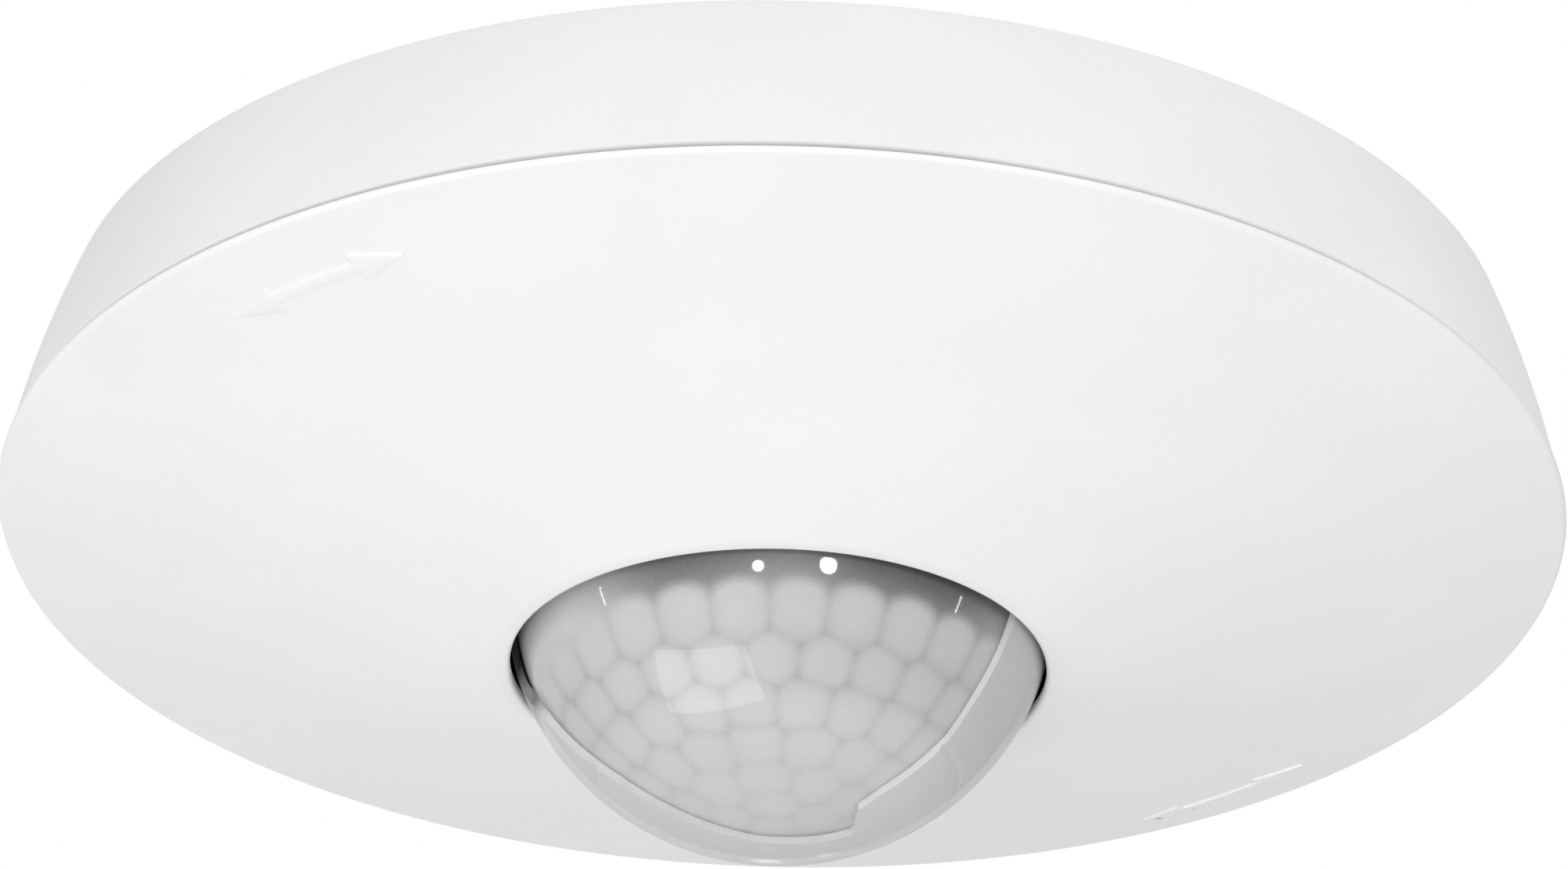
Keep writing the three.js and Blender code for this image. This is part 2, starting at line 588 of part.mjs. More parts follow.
// ---- Lens ----
// Points on an arc about the lens centre, from one polar angle to another (0 is straight down).
function lensArc(radius, from, to, steps) {
  return Array.from({ length: steps + 1 }, (_, i) => {
    const polar = radians(from + ((to - from) * i) / steps);
    return [radius * Math.sin(polar), LENS_CENTRE - radius * Math.cos(polar)];
  });
}

function lensDome() {
  const inner = LENS_OUTER - LENS_THICKNESS;
  const outside = lensArc(LENS_OUTER, 0, 90, 9);
  const inside = lensArc(inner, 90, 0, 8);
  const profile = [
    ...outside, [LENS_OUTER, LENS_FLANGE_BOTTOM], [LENS_FLANGE_RADIUS, LENS_FLANGE_BOTTOM],
    [LENS_FLANGE_RADIUS, LENS_FLANGE_TOP], [inner, LENS_FLANGE_TOP], ...inside,
  ];
  return turned(profile, MEDIUM);
}

function lensMask() {
  const outside = lensArc(MASK_OUTER, 0, 90, 10);
  const inside = lensArc(MASK_INNER, 90, 0, 10);
  const shell = turned([
    ...outside, [MASK_RING_RADIUS, MASK_RING_BOTTOM], [MASK_RING_RADIUS, MASK_RING_TOP],
    [MASK_INNER, MASK_RING_TOP], ...inside,
  ], MEDIUM);
  const snapped = MASK_END_AZIMUTHS.map((azimuth) => at(MASK_END_RADIUS, azimuth));
  const beyond = [at(60, MASK_END_AZIMUTHS.at(-1)), at(60, -90)];
  const outline = [...MASK_WINDOW, ...snapped, ...beyond];
  const window = new THREE.Shape(outline.map(([x, y]) => new THREE.Vector2(x, y)));
  const windowTop = LENS_CENTRE - MASK_OUTER * Math.cos(radians(MASK_RING_POLAR));
  return cut(shell, plate(window, windowTop, -50));
}

function lensRetainer() {
  const profile = [
    [MASK_RING_RADIUS + GAP, LENS_FLANGE_BOTTOM - GAP], [MASK_RING_RADIUS + GAP, -19.8], [21.1, -19.8],
    [21.1, -20.4], [24.4, -20.4], [24.4, HOUSING_FACE - 0.1],
    [LENS_FLANGE_RADIUS + GAP, HOUSING_FACE - 0.1], [LENS_FLANGE_RADIUS + GAP, LENS_FLANGE_BOTTOM - GAP],
  ];
  const ears = RETAINER_AZIMUTHS.map((azimuth) =>
    cylinder(3.4, HOUSING_FACE - 0.1, -18.6, ...at(RETAINER_SCREW_RADIUS, azimuth)),
  );
  const inside = cylinder(23.4, 0, -19.2, 0, 0, MEDIUM);
  const holes = RETAINER_AZIMUTHS.map((azimuth) =>
    cylinder(1.3, 0, -30, ...at(RETAINER_SCREW_RADIUS, azimuth), 12),
  );
  return cut(join(turned(profile, MEDIUM), ...ears.map((ear) => cut(ear, inside))), ...holes);
}

// ---- Cover and the ring that locks it ----
function lockingRing() {
  const band = ring(RING_INNER, RING_BAND, RING_TOP, RING_BOTTOM);
  const flanges = LEDGE_AZIMUTHS.map((azimuth) =>
    sector(RING_BAND - 0.4, RING_FLANGE, azimuth - 28, azimuth + 28, FLANGE_TOP, LEDGE_TOP + GAP),
  );
  const keys = LEG_AZIMUTHS.flatMap((azimuth) =>
    [-1, 1].map((side) => {
      const middle = azimuth + side * (LEG_SPAN / 2 + 1.4);
      return sector(LEG_INNER + 0.4, RING_INNER + 0.4, middle - 0.9, middle + 0.9, RING_TOP, RING_BOTTOM);
    }),
  );
  return join(band, ...flanges, ...keys);
}

// The cone's outer surface, as a height for each radius.
const CONE_START = [COVER_RADIUS - COVER_ROUND * 0.7, COVER_TOP - COVER_EDGE - COVER_ROUND * 0.95];
const CONE_END = [HOLE_RADIUS + LIP_WIDTH, HOLE_Z + 0.22];
const CONE_SLOPE = (CONE_START[1] - CONE_END[1]) / (CONE_START[0] - CONE_END[0]);

function coneZ(radius) {
  return CONE_END[1] + (radius - CONE_END[0]) * CONE_SLOPE;
}

// A double-headed arrow bent along an arc, standing a little proud of the cone.
function arrow(azimuth) {
  const outline = [];
  const push = (angle, offset) => outline.push(at(ARROW_RADIUS + offset, azimuth + angle));
  for (const side of [1, -1]) {
    const neck = (ARROW_HALF_SPAN - ARROW_HEAD_SPAN) * side;
    const [head, shaft] = [ARROW_HEAD_WIDTH * side, ARROW_SHAFT_WIDTH * side];
    for (const share of [-1, -0.5, 0, 0.5, 1]) push(share * neck, -shaft);
    push(neck, -head);
    push(ARROW_HALF_SPAN * side, 0);
    push(neck, head);
  }
  const shape = new THREE.Shape(outline.map(([x, y]) => new THREE.Vector2(x, y)));
  const block = plate(shape, -10, -30);
  const skin = turned([
    [48, coneZ(48) + 0.3], [56, coneZ(56) + 0.3], [56, coneZ(56) - ARROW_RELIEF],
    [48, coneZ(48) - ARROW_RELIEF],
  ]);
  return block.intersect(skin);
}

function frontCover() {
  const round = [0, 25, 50, 73].map((angle) => [
    COVER_RADIUS - COVER_ROUND * (1 - Math.cos(radians(angle))),
    COVER_TOP - COVER_EDGE - COVER_ROUND * Math.sin(radians(angle)),
  ]);
  const inner = (radius) => coneZ(radius) + COVER_THICKNESS;
  const profile = [
    [SPIGOT_RADIUS, COVER_TOP], [COVER_RADIUS - 0.1, COVER_TOP], [COVER_RADIUS, COVER_TOP - 0.1],
    ...round, CONE_END, [HOLE_RADIUS + 0.6, HOLE_Z], [HOLE_RADIUS + 0.15, HOLE_Z + 0.1],
    [HOLE_RADIUS, HOLE_Z + 0.3], [HOLE_RADIUS + 0.25, HOLE_Z + 0.75], [HOLE_RADIUS + 0.8, HOLE_Z + 1.9],
    [HOLE_RADIUS + 1.6, inner(HOLE_RADIUS + 1.6)], [SPIGOT_RADIUS - 2.2, inner(SPIGOT_RADIUS - 2.2)],
    [SPIGOT_RADIUS - 0.8, COVER_TOP - 0.5], [SPIGOT_RADIUS - 0.8, SPIGOT_TOP], [SPIGOT_RADIUS, SPIGOT_TOP],
  ];
  const legs = LEG_AZIMUTHS.map((azimuth) => {
    const [from, to] = [azimuth - LEG_SPAN / 2, azimuth + LEG_SPAN / 2];
    return sector(LEG_INNER, LEG_OUTER, from, to, LEG_TOP, inner(LEG_OUTER) - 0.8);
  });
  return join(turned(profile), ...legs, ...ARROW_AZIMUTHS.map(arrow));
}

// ---- Every piece, from the ceiling down ----
add("back_box", "whitePlastic", backBox());
add("ceiling_seal", "seal", ring(48.2, 50.2, -0.05, -1));
add("cable_grommet", "rubber", cableGrommet());

add("power_board", "board", powerBoard());
BOARD_POSTS.forEach(([x, y], i) => {
  const top = POWER_BOARD_FACE - 0.05;
  add(`board_screw_${i + 1}`, "steel", screw(x, y, 2.6, top, 1.4, 1, top + 3.2));
});
add("terminal_block", "terminalGreen", terminalBlock());
terminalPlaces().forEach((x, i) => add(`terminal_screw_${i + 1}`, "steel", terminalScrew(x)));
add("relay", "relayBlue", relay());
add("film_capacitor", "capacitorYellow", filmCapacitor());
add("smoothing_capacitor", "blackPlastic", smoothingCapacitor());
add("varistor", "varistorBlue", varistor());
add("fuse", "fuseGlass", fuse());
add("choke", "blackPlastic", choke());
add("board_header", "blackPlastic", boardHeader());

add("module_housing", "innerPlastic", moduleHousing());
EAR_AZIMUTHS.forEach((azimuth, i) => {
  const [x, y] = at(EAR_RADIUS, azimuth);
  add(`housing_screw_${i + 1}`, "steel", screw(x, y, 2.5, EAR_BOTTOM - 0.05, 1.5, 1, EAR_BOTTOM + 5));
});
add("control_board", "board", controlBoard());
CONTROL_POSTS.forEach((post, i) => add(`control_screw_${i + 1}`, "steel", controlScrew(post)));
add("pir_sensor", "steel", pirSensor());
const windowSpan = [CONTROL_BOARD_FACE - 6.7, CONTROL_BOARD_FACE - 6.25];
add("pir_window", "filter", box([-1.6, 1.6], [-1.6, 1.6], windowSpan));
add("sensor_cup", "blackPlastic", sensorCup());
add("sensor_bezel", "innerPlastic", sensorBezel());
add("status_led", "redDiode", diode(DIODE_AZIMUTHS[0]));
add("light_sensor", "diode", diode(DIODE_AZIMUTHS[1]));
add("time_pot", "innerPlastic", potentiometer(DIAL_AZIMUTHS.time));
add("time_dial", "dialOrange", dial(DIAL_AZIMUTHS.time));
add("lux_pot", "innerPlastic", potentiometer(DIAL_AZIMUTHS.lux));
add("lux_dial", "dialOrange", dial(DIAL_AZIMUTHS.lux));
add("dip_block", "dipRed", dipBlock());
dipPlaces().forEach((x, i) => add(`dip_slider_${i + 1}`, "whitePlastic", dipSlider(x)));
add("test_switch", "blackPlastic", testSwitch());
add("test_button", "innerPlastic", testButton());

add("lens_gasket", "rubber", ring(19.6, 22.4, HOUSING_FACE - 0.1, GASKET_BOTTOM, MEDIUM));
add("lens_dome", "milkyLens", lensDome());
add("lens_mask", "maskPlastic", lensMask());
add("lens_retainer", "blackPlastic", lensRetainer());
RETAINER_AZIMUTHS.forEach((azimuth, i) => {
  const [x, y] = at(RETAINER_SCREW_RADIUS, azimuth);
  add(`retainer_screw_${i + 1}`, "steel", screw(x, y, 2.2, -18.65, 1.3, 0.9, -14.5));
});
add("locking_ring", "innerPlastic", lockingRing());
add("front_cover", "whitePlastic", frontCover());

export default sensor;
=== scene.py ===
import math

import bmesh
import bpy
import numpy as np
from mathutils import Matrix, Vector


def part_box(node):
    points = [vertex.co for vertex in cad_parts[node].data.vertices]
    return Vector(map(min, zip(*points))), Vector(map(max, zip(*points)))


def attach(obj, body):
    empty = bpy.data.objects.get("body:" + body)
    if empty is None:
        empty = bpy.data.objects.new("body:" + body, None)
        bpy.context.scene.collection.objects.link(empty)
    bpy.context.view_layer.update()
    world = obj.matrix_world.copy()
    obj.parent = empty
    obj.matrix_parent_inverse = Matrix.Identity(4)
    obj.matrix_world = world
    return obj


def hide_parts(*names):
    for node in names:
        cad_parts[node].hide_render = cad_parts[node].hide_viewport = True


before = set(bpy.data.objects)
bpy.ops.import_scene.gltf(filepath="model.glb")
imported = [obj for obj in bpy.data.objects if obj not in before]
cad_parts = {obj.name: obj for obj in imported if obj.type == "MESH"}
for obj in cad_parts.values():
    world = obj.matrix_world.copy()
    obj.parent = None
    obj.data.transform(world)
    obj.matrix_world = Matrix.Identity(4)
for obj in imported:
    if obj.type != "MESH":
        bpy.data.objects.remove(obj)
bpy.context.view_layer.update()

# A surface-mounted ceiling motion sensor. Lengths in this script are millimetres until a mesh is
# made, +Z points up into the ceiling, and azimuths are degrees from -Y towards +X.
MM = 0.001


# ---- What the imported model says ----
def node_box(node):
    low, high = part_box(node)
    return [value / MM for value in low], [value / MM for value in high]


SKIRT_LOW, SKIRT_HIGH = node_box("back_box")
COVER_LOW, COVER_HIGH = node_box("front_cover")
DOME_LOW, DOME_HIGH = node_box("lens_dome")
MASK_HIGH = node_box("lens_mask")[1]

# ---- Dimensions of the finer shapes ----
FINE = 384  # segments round the casing
ROUND = 96  # segments round a small turned shape
SMALL = 24  # segments round a screw hole

LIP_RISE = 0.25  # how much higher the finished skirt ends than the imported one
SKIRT_DEPTH = SKIRT_HIGH[2] - SKIRT_LOW[2] - LIP_RISE
SKIRT_LIP_RADIUS = SKIRT_HIGH[0]
SKIRT_TOP_RADIUS = 53.6
SKIRT_BULGE = 0.36
WALL = 2.0
BACK_WALL = 2.4

COVER_RADIUS = COVER_HIGH[0]
GROOVE_HEIGHT = 0.45  # the shadow groove between skirt and cover
GROOVE_DEPTH = 0.8
LIP_GAP = 0.1  # between the cover's shoulder and the skirt's lip
COVER_TOP = SKIRT_LOW[2] + LIP_RISE - GROOVE_HEIGHT
COVER_EDGE = 0.05
COVER_ROUND = 0.45
COVER_THICKNESS = 1.8
HOLE_RADIUS = 19.68
HOLE_Z = COVER_LOW[2]
SPIGOT_RADIUS = 55
SPIGOT_TOP = -13.2
LEG_INNER = 49.2
LEG_OUTER = 50.6
LEG_TOP = COVER_HIGH[2]
LEG_AZIMUTHS = (20, 110, 200, 290)
LEG_SPAN = 11

LEDGE_AZIMUTHS = (60, 180, 300)  # bayonet ledges inside the skirt
LEDGE_SPAN = 50
LEDGE_INNER = 52.4
LEDGE_TOP = -11.4
LEDGE_BOTTOM = -12.9
RING_INNER = 50.9  # locking ring
RING_BAND = 51.9
RING_FLANGE = 53.7
RING_TOP = -8.4
RING_BOTTOM = -13.6
FLANGE_TOP = -9.2
FLANGE_SPAN = 56
RIB_AZIMUTHS = range(30, 360, 60)
RIB_SPAN = 2
KEY_SPAN = 1.8  # the keys that carry the cover's legs round with the ring
PLAY = 0.3  # between parts that must not touch
SUNK = 0.5  # how deep a joined shape starts inside its neighbour
PAST = 1.0  # how far a cutter reaches past the face it cuts

HOUSING_RADIUS = 44
HOUSING_WALL = 1.6
HOUSING_TOP = -3.0
HOUSING_FACE = -16.8
HOUSING_PLATE = HOUSING_FACE + HOUSING_WALL
EAR_AZIMUTHS = (0, 150, 240)
EAR_RADIUS = 46.8
EAR_HALF = 2.7
EAR_LENGTH = 8.0
EAR_TOP = -10.1
EAR_BOTTOM = -12.0
EAR_PILOT = (1.3, -4.4)  # radius and depth of the screw hole in an ear's post
EAR_HOLE = 1.7
BOARD_POST_AZIMUTHS = (62, -62)
BOARD_POST_AT = 34  # distance from the middle
BOARD_POST_RADIUS = 3
BOARD_POST_BOTTOM = -3.65
BOARD_PILOT = (1.2, -1.2)
CONTROL_POST_AZIMUTHS = (84, -84)
CONTROL_POST_AT = 31
CONTROL_POST_RADIUS = 2.4
CONTROL_POST_TOP = -12.82
RETAINER_AZIMUTHS = (0, 100, 260)
RETAINER_SCREW_RADIUS = 27
RETAINER_PILOT = 1.2
RETAINER_HOLE = 1.3
RETAINER_OUTER = 24.4
RETAINER_LIP = 21.1
RETAINER_EAR = 3.4
RETAINER_EAR_DEPTH = 1.7
BOSS_RADIUS = 2.2
BOSS_HEIGHT = 1.4
LENS_WELL = 12  # radius of the housing's opening behind the lens
DIAL_HOLE = 4
DIAL_RADIUS = 3.6
TEST_HOLE = 2.6
TEST_RADIUS = 2.2
DIP_HOLE = (6, 3.6)  # half lengths
TERMINAL_DOOR = (-12, 12, 25.4, 37.4)
SETTING_RADIUS = 33  # where the dials and the test button stand
DIAL_AZIMUTHS = {"time": -34, "lux": 34}
TEST_AZIMUTH = -66
DIAL_SWEEP = 135  # degrees each way
DIP_Y = -34
CABLE_ENTRY = (-23.5, 24)
CABLE_HOLE = 6.5
FIXING_RADIUS = 30
FIXING_AZIMUTHS = (90, 270)
FIXING_SLOT = (11, 2.2)  # length and end radius
FIXING_SINK = (14.5, 4)  # the same for the recess that its screw head sits in
SINK_DEPTH = 1.7  # from the ceiling
# Grooves in the ceiling face: name, inner radius, outer radius, bottom, segments.
BACK_GROOVES = (
    ("seal_groove", 47.9, 50.5, -1.3, FINE),
    ("knock_out_ring", 6.4, 7.2, -1.4, ROUND),
    ("inner_knock_out_ring", 3.2, 3.7, -1.2, ROUND),
)
SEAL_INNER = 48.2

ARROW_RADIUS = 52.4
ARROW_AZIMUTHS = (-39.9, 138.5)
ARROW_HALF_SPAN = 8.6
ARROW_HEAD_SPAN = 4.4
ARROW_HEAD_WIDTH = 1.35
ARROW_SHAFT_WIDTH = 0.45
ARROW_RELIEF = 0.18
ARROW_ROOT = 0.8  # the whole height of an arrow's body, most of it inside the cone
ARROW_EDGE = 0.07  # how far its edges are softened
ARROW_STEP = 0.5  # degrees between the cuts that let it bend

LENS_CENTRE = -19.6
LENS_OUTER = LENS_CENTRE - DOME_LOW[2]
LENS_THICKNESS = 0.7
LENS_FLANGE_RADIUS = DOME_HIGH[0]
LENS_FLANGE_TOP = DOME_HIGH[2]
LENS_FLANGE_BOTTOM = -18.3
MASK_INNER = 19.9
MASK_OUTER = 20.45
MASK_RING_RADIUS = MASK_HIGH[0]
MASK_RING_TOP = MASK_HIGH[2]
MASK_RING_BOTTOM = -19.5
MASK_RING_POLAR = 86  # the mask is a closed ring beyond this angle from the pole
SCORE_POLAR = 41.1  # the groove where the mask's lower part can be broken off
SCORE_DEPTH = 0.2
SCORE_WIDTH = 0.65  # degrees


# ---- Mesh helpers ----
def at(radius, azimuth):
    """The point of the XY plane at a radius and an azimuth."""
    angle = math.radians(azimuth)
    return Vector((radius * math.sin(angle), -radius * math.cos(angle)))


def new_object(name, data):
    placed = bpy.data.objects.new(name, data)
    bpy.context.scene.collection.objects.link(placed)
    return placed


def mesh_object(name, vertices, faces):
    """An object from vertices in millimetres, with its faces turned outwards."""
    mesh = bpy.data.meshes.new(name)
    mesh.from_pydata([Vector(vertex) * MM for vertex in vertices], [], faces)
    body = bmesh.new()
    body.from_mesh(mesh)
    bmesh.ops.recalc_face_normals(body, faces=body.faces)
    body.to_mesh(mesh)
    body.free()
    return new_object(name, mesh)


def rounded(profile, steps=5):
    """A closed outline with fillets: each corner is (x, y) or (x, y, fillet radius)."""
    outline = []
    for index, corner in enumerate(profile):
        here = Vector(corner[:2])
        radius = corner[2] if len(corner) > 2 else 0
        if not radius:
            outline.append(here)
            continue
        before = (Vector(profile[index - 1][:2]) - here).normalized()
        after = (Vector(profile[(index + 1) % len(profile)][:2]) - here).normalized()
        half_angle = before.angle(after) / 2
        centre = here + (before + after).normalized() * radius / math.sin(half_angle)
        start = here + before * radius / math.tan(half_angle) - centre
        end = here + after * radius / math.tan(half_angle) - centre
        sweep = math.atan2(start.cross(end), start.dot(end))
        for step in range(steps + 1):
            outline.append(centre + Matrix.Rotation(sweep * step / steps, 2) @ start)
    return outline


def supported(outline, margin=0.12, least=0.9):
    """The closed outline with points added near both ends of each long side, so that smooth
    shading stays flat along it."""
    result = []
    for index, here in enumerate(outline):
        after = outline[(index + 1) % len(outline)]
        result.append(here)
        side = after - here
        if side.length > least and max(abs(here.x), abs(after.x)) > 1e-6:
            result.append(here + side.normalized() * margin)
            result.append(after - side.normalized() * margin)
    return result


def turned(name, profile, segments=FINE, centre=(0, 0)):
    """A closed (radius, z) outline turned about Z, or about a parallel axis through centre."""
    vertices = []
    rings = []
    for radius, z in profile:
        if radius < 1e-6:
            rings.append([len(vertices)] * segments)
            vertices.append((centre[0], centre[1], z))
            continue
        rings.append(list(range(len(vertices), len(vertices) + segments)))
        for step in range(segments):
            angle = 2 * math.pi * step / segments
            x = centre[0] + radius * math.sin(angle)
            y = centre[1] - radius * math.cos(angle)
            vertices.append((x, y, z))
    faces = []
    for index, ring in enumerate(rings):
        after = rings[(index + 1) % len(rings)]
        for step in range(segments):
            following = (step + 1) % segments
            quad = [ring[step], ring[following], after[following], after[step]]
            face = list(dict.fromkeys(quad))
            if len(face) > 2:
                faces.append(face)
    return mesh_object(name, vertices, faces)


def flat_ring(name, inner, outer, bottom, top, fillet=0, segments=FINE, steps=5):
    corners = [(inner, top), (outer, top), (outer, bottom), (inner, bottom)]
    return turned(name, rounded([(*corner, fillet) for corner in corners], steps), segments)


def prism(name, outline, bottom, top):
    """A flat outline carried from one height to another."""
    count = len(outline)
    vertices = [(x, y, z) for z in (bottom, top) for x, y in outline]
    faces = [list(range(count)), list(range(count, 2 * count))]
    for index in range(count):
        after = (index + 1) % count
        faces.append([index, after, count + after, count + index])
    return mesh_object(name, vertices, faces)


def circle(radius, centre=(0, 0), segments=ROUND):
    turn = [2 * math.pi * step / segments for step in range(segments)]
    middle = Vector(centre)
    return [middle + radius * Vector((math.cos(angle), math.sin(angle))) for angle in turn]


def rectangle(x0, x1, y0, y1, fillet=0, steps=4):
    return rounded([(x0, y0, fillet), (x1, y0, fillet), (x1, y1, fillet), (x0, y1, fillet)], steps)


def sector(inner, outer, middle, span, step=1.0):
    """The outline of a piece of a flat ring about an azimuth."""
    count = max(2, math.ceil(span / step))
    sweep = [middle - span / 2 + span * index / count for index in range(count + 1)]
    return [at(outer, azimuth) for azimuth in sweep] + [at(inner, azimuth) for azimuth in sweep[::-1]]


def slot(length, radius, centre, azimuth, segments=16):
    """The outline of a round-ended slot whose length lies along its azimuth's radial line."""
    along = at(1, azimuth)
    across = Vector((-along.y, along.x))
    middle = at(centre, azimuth)
    outline = []
    for side in (1, -1):
        end = middle + along * side * (length / 2 - radius)
        for step in range(segments + 1):
            angle = math.pi * step / segments - math.pi / 2
            out = along * math.cos(angle) + across * math.sin(angle)
            outline.append(end + out * side * radius)
    return outline


def combine(piece, others, operation):
    """Joins other solids to a piece, cuts them from it or keeps what they share, and uses them up."""
    for other in others:
        step = piece.modifiers.new(operation, "BOOLEAN")
        step.operation = operation
        step.solver = "MANIFOLD"
        step.object = other
    depsgraph = bpy.context.evaluated_depsgraph_get()
    mesh = bpy.data.meshes.new_from_object(piece.evaluated_get(depsgraph))
    piece.modifiers.clear()
    piece.data = mesh
    for other in others:
        bpy.data.objects.remove(other)
    return piece


def join(piece, *others):
    return combine(piece, others, "UNION")


def cut(piece, *others):
    return combine(piece, others, "DIFFERENCE")


def finish_piece(piece, material, body, nodes=(), angle=32):
    """Smooth shading with creases, the piece's material, its body and the CAD nodes it stands for."""
    piece.data.shade_smooth()
    piece.data.set_sharp_from_angle(angle=math.radians(angle))
    piece.data.materials.clear()
    piece.data.materials.append(material)
    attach(piece, body)
    if nodes:
        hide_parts(*nodes)
    return piece


# ---- Materials ----
NOISE_MIDDLE = (0.3, 0.7)  # the values between which most of a noise lies
MASK_TONES = (0.64, 0.56)  # how pale the mask is towards the middle and at the right
MASK_TONE_CHANGE = (10 * MM, 16 * MM)  # the X between which the one becomes the other
# The tone that the painted highlight on the mask's cut edges lifts them to.
MASK_EDGE_HIGHLIGHT_TONE = 0.7
MASK_MILK = (0.84, 0.97)  # how far its faces and its cut edges hide what lies behind
MASK_LIGHT_SHARE = 0.5  # how much less it holds back light than it hides from view
# Painted shade on the mask's left end under the cover's lip: the X and Z between which it grows, and
# how dark it gets.
PAINTED_SHADE_X = (-17.8 * MM, -16.4 * MM)
PAINTED_SHADE_Z = (-30.8 * MM, -29.0 * MM)
PAINTED_SHADE_LEVEL = 0.3


def add_node(tree, kind, inputs, **settings):
    """A node with its settings, its inputs set to values or linked to other nodes."""
    node = tree.nodes.new("ShaderNode" + kind)
    for key, value in settings.items():
        setattr(node, key, value)
    for key, value in inputs.items():
        if isinstance(value, bpy.types.NodeSocket):
            tree.links.new(value, node.inputs[key])
        else:
            node.inputs[key].default_value = value
    return node


class Finish:
    """A node material while it is being put together."""

    def __init__(self, name):
        self.material = bpy.data.materials.new(name)
        self.material.use_nodes = True
        self.tree = self.material.node_tree
        self.tree.nodes.clear()
        self.output = self.tree.nodes.new("ShaderNodeOutputMaterial")
        self.place = self.add("TexCoord", {}).outputs["Object"]

    def add(self, kind, inputs, **settings):
        return add_node(self.tree, kind, inputs, **settings)

    def noise(self, size, detail=2.0, roughness=0.5):
        """Noise between about 0 and 1 whose features are size millimetres across."""
        inputs = {"Vector": self.place, "Scale": 1 / (size * MM), "Detail": detail,
                  "Roughness": roughness}
        return self.add("TexNoise", inputs).outputs["Fac"]

    def math(self, operation, first, second=0.0):
        return self.add("Math", {0: first, 1: second}, operation=operation).outputs[0]

    def spread(self, value, low, high, to_low, to_high):
        """value moved from one range to another, held inside the new one."""
        inputs = {"Value": value, "From Min": low, "From Max": high, "To Min": to_low,
                  "To Max": to_high}
        return self.add("MapRange", inputs, clamp=True).outputs["Result"]

    def mix(self, amount, first, second):
        """Two colours mixed."""
        inputs = {0: amount, 6: (*first, 1), 7: (*second, 1)}
        return self.add("Mix", inputs, data_type="RGBA").outputs[2]

    def bump(self, height, distance, strength=1.0):
        """A normal from a height, where distance is its full depth in millimetres."""
        inputs = {"Height": height, "Distance": distance * MM, "Strength": strength}
        return self.add("Bump", inputs).outputs["Normal"]

    def surface(self, colour, roughness, **extra):
        names = {key: key.replace("_", " ").title().replace("Ior", "IOR") for key in extra}
        inputs = {names[key]: value for key, value in extra.items()}
        inputs["Roughness"] = roughness
        if isinstance(colour, bpy.types.NodeSocket):
            inputs["Base Color"] = colour
        else:
            inputs["Base Color"] = (*colour, 1)
        return self.add("BsdfPrincipled", inputs).outputs["BSDF"]

    def use(self, shader):
        self.tree.links.new(shader, self.output.inputs["Surface"])
        return self.material


def plastic(name, colour, roughness, grain=0.35, relief=0.004, cloud=0.02, specular=0.45):
    """Moulded plastic: faint flow clouding, a fine eroded grain and a slightly uneven sheen."""
    finish = Finish(name)
    cloud_noise = finish.noise(14, 3)
    low = [channel * (1 - cloud) for channel in colour]
    high = [min(1, channel * (1 + cloud * 0.5)) for channel in colour]
    tint = finish.mix(finish.spread(cloud_noise, *NOISE_MIDDLE, 0, 1), low, high)
    fine = finish.noise(grain, 2)
    sheen = finish.spread(finish.noise(3, 2), *NOISE_MIDDLE, roughness - 0.04, roughness + 0.04)
    normal = finish.bump(fine, relief)
    return finish.use(finish.surface(tint, sheen, normal=normal, specular_ior_level=specular))


def metal(name, colour, roughness, grain=0.08):
    """Plated steel: bright, with faint scratches and darker spots."""
    finish = Finish(name)
    scratch = finish.noise(grain, 4, 0.7)
    tint = finish.mix(finish.spread(finish.noise(1.2, 3), 0.35, 0.7, 0, 1), colour,
                      [channel * 0.8 for channel in colour])
    sheen = finish.spread(scratch, 0.3, 0.7, roughness * 0.75, roughness * 1.35)
    normal = finish.bump(scratch, 0.003)
    return finish.use(finish.surface(tint, sheen, metallic=1.0, normal=normal))


def rubbery(name, colour, pore):
    """Soft rubber or foam with pores."""
    finish = Finish(name)
    cells = finish.add("TexVoronoi", {"Vector": finish.place, "Scale": 1 / (pore * MM)})
    depth = finish.spread(cells.outputs["Distance"], 0.1, 0.7, 0, 1)
    tint = finish.mix(depth, colour, [channel * 0.6 for channel in colour])
    normal = finish.bump(depth, pore * 0.25)
    return finish.use(finish.surface(tint, 0.85, normal=normal, specular_ior_level=0.2))


def glossed(finish, body, cover, roughness):
    """A milky body, clear in part, under a full-strength gloss, with clear back faces."""
    clear = finish.add("BsdfTransparent", {}).outputs[0]
    milk = finish.add("MixShader", {0: cover, 1: clear, 2: body}).outputs[0]
    gloss = finish.add("BsdfGlossy", {"Roughness": roughness}).outputs[0]
    mirrored = finish.add("Fresnel", {"IOR": 1.45}).outputs[0]
    shell = finish.add("MixShader", {0: mirrored, 1: milk, 2: gloss}).outputs[0]
    behind = finish.add("NewGeometry", {}).outputs["Backfacing"]
    return finish.add("MixShader", {0: behind, 1: shell, 2: clear}).outputs[0]


def milky_lens():
    """Frosted polyethylene. The vertex value tone holds how pale the lens is, with painted light and
    shade in it, and milk how far
    it hides what lies behind: the plain collar above the cells is darker and half clear."""
    finish = Finish("milky_lens")
    tone = finish.add("Attribute", {}, attribute_name="tone").outputs["Fac"]
    milk = finish.add("Attribute", {}, attribute_name="milk").outputs["Fac"]
    speckle = finish.spread(finish.noise(0.22, 2), *NOISE_MIDDLE, -0.014, 0.014)
    cloud = finish.spread(finish.noise(5, 2), *NOISE_MIDDLE, -0.008, 0.008)
    grey = finish.math("ADD", finish.math("ADD", tone, speckle), cloud)
    body = finish.surface(finish.mix(grey, (0, 0, 0), (1, 1, 1)), 0.9, specular_ior_level=0.0)
    return finish.use(glossed(finish, body, milk, 0.045))


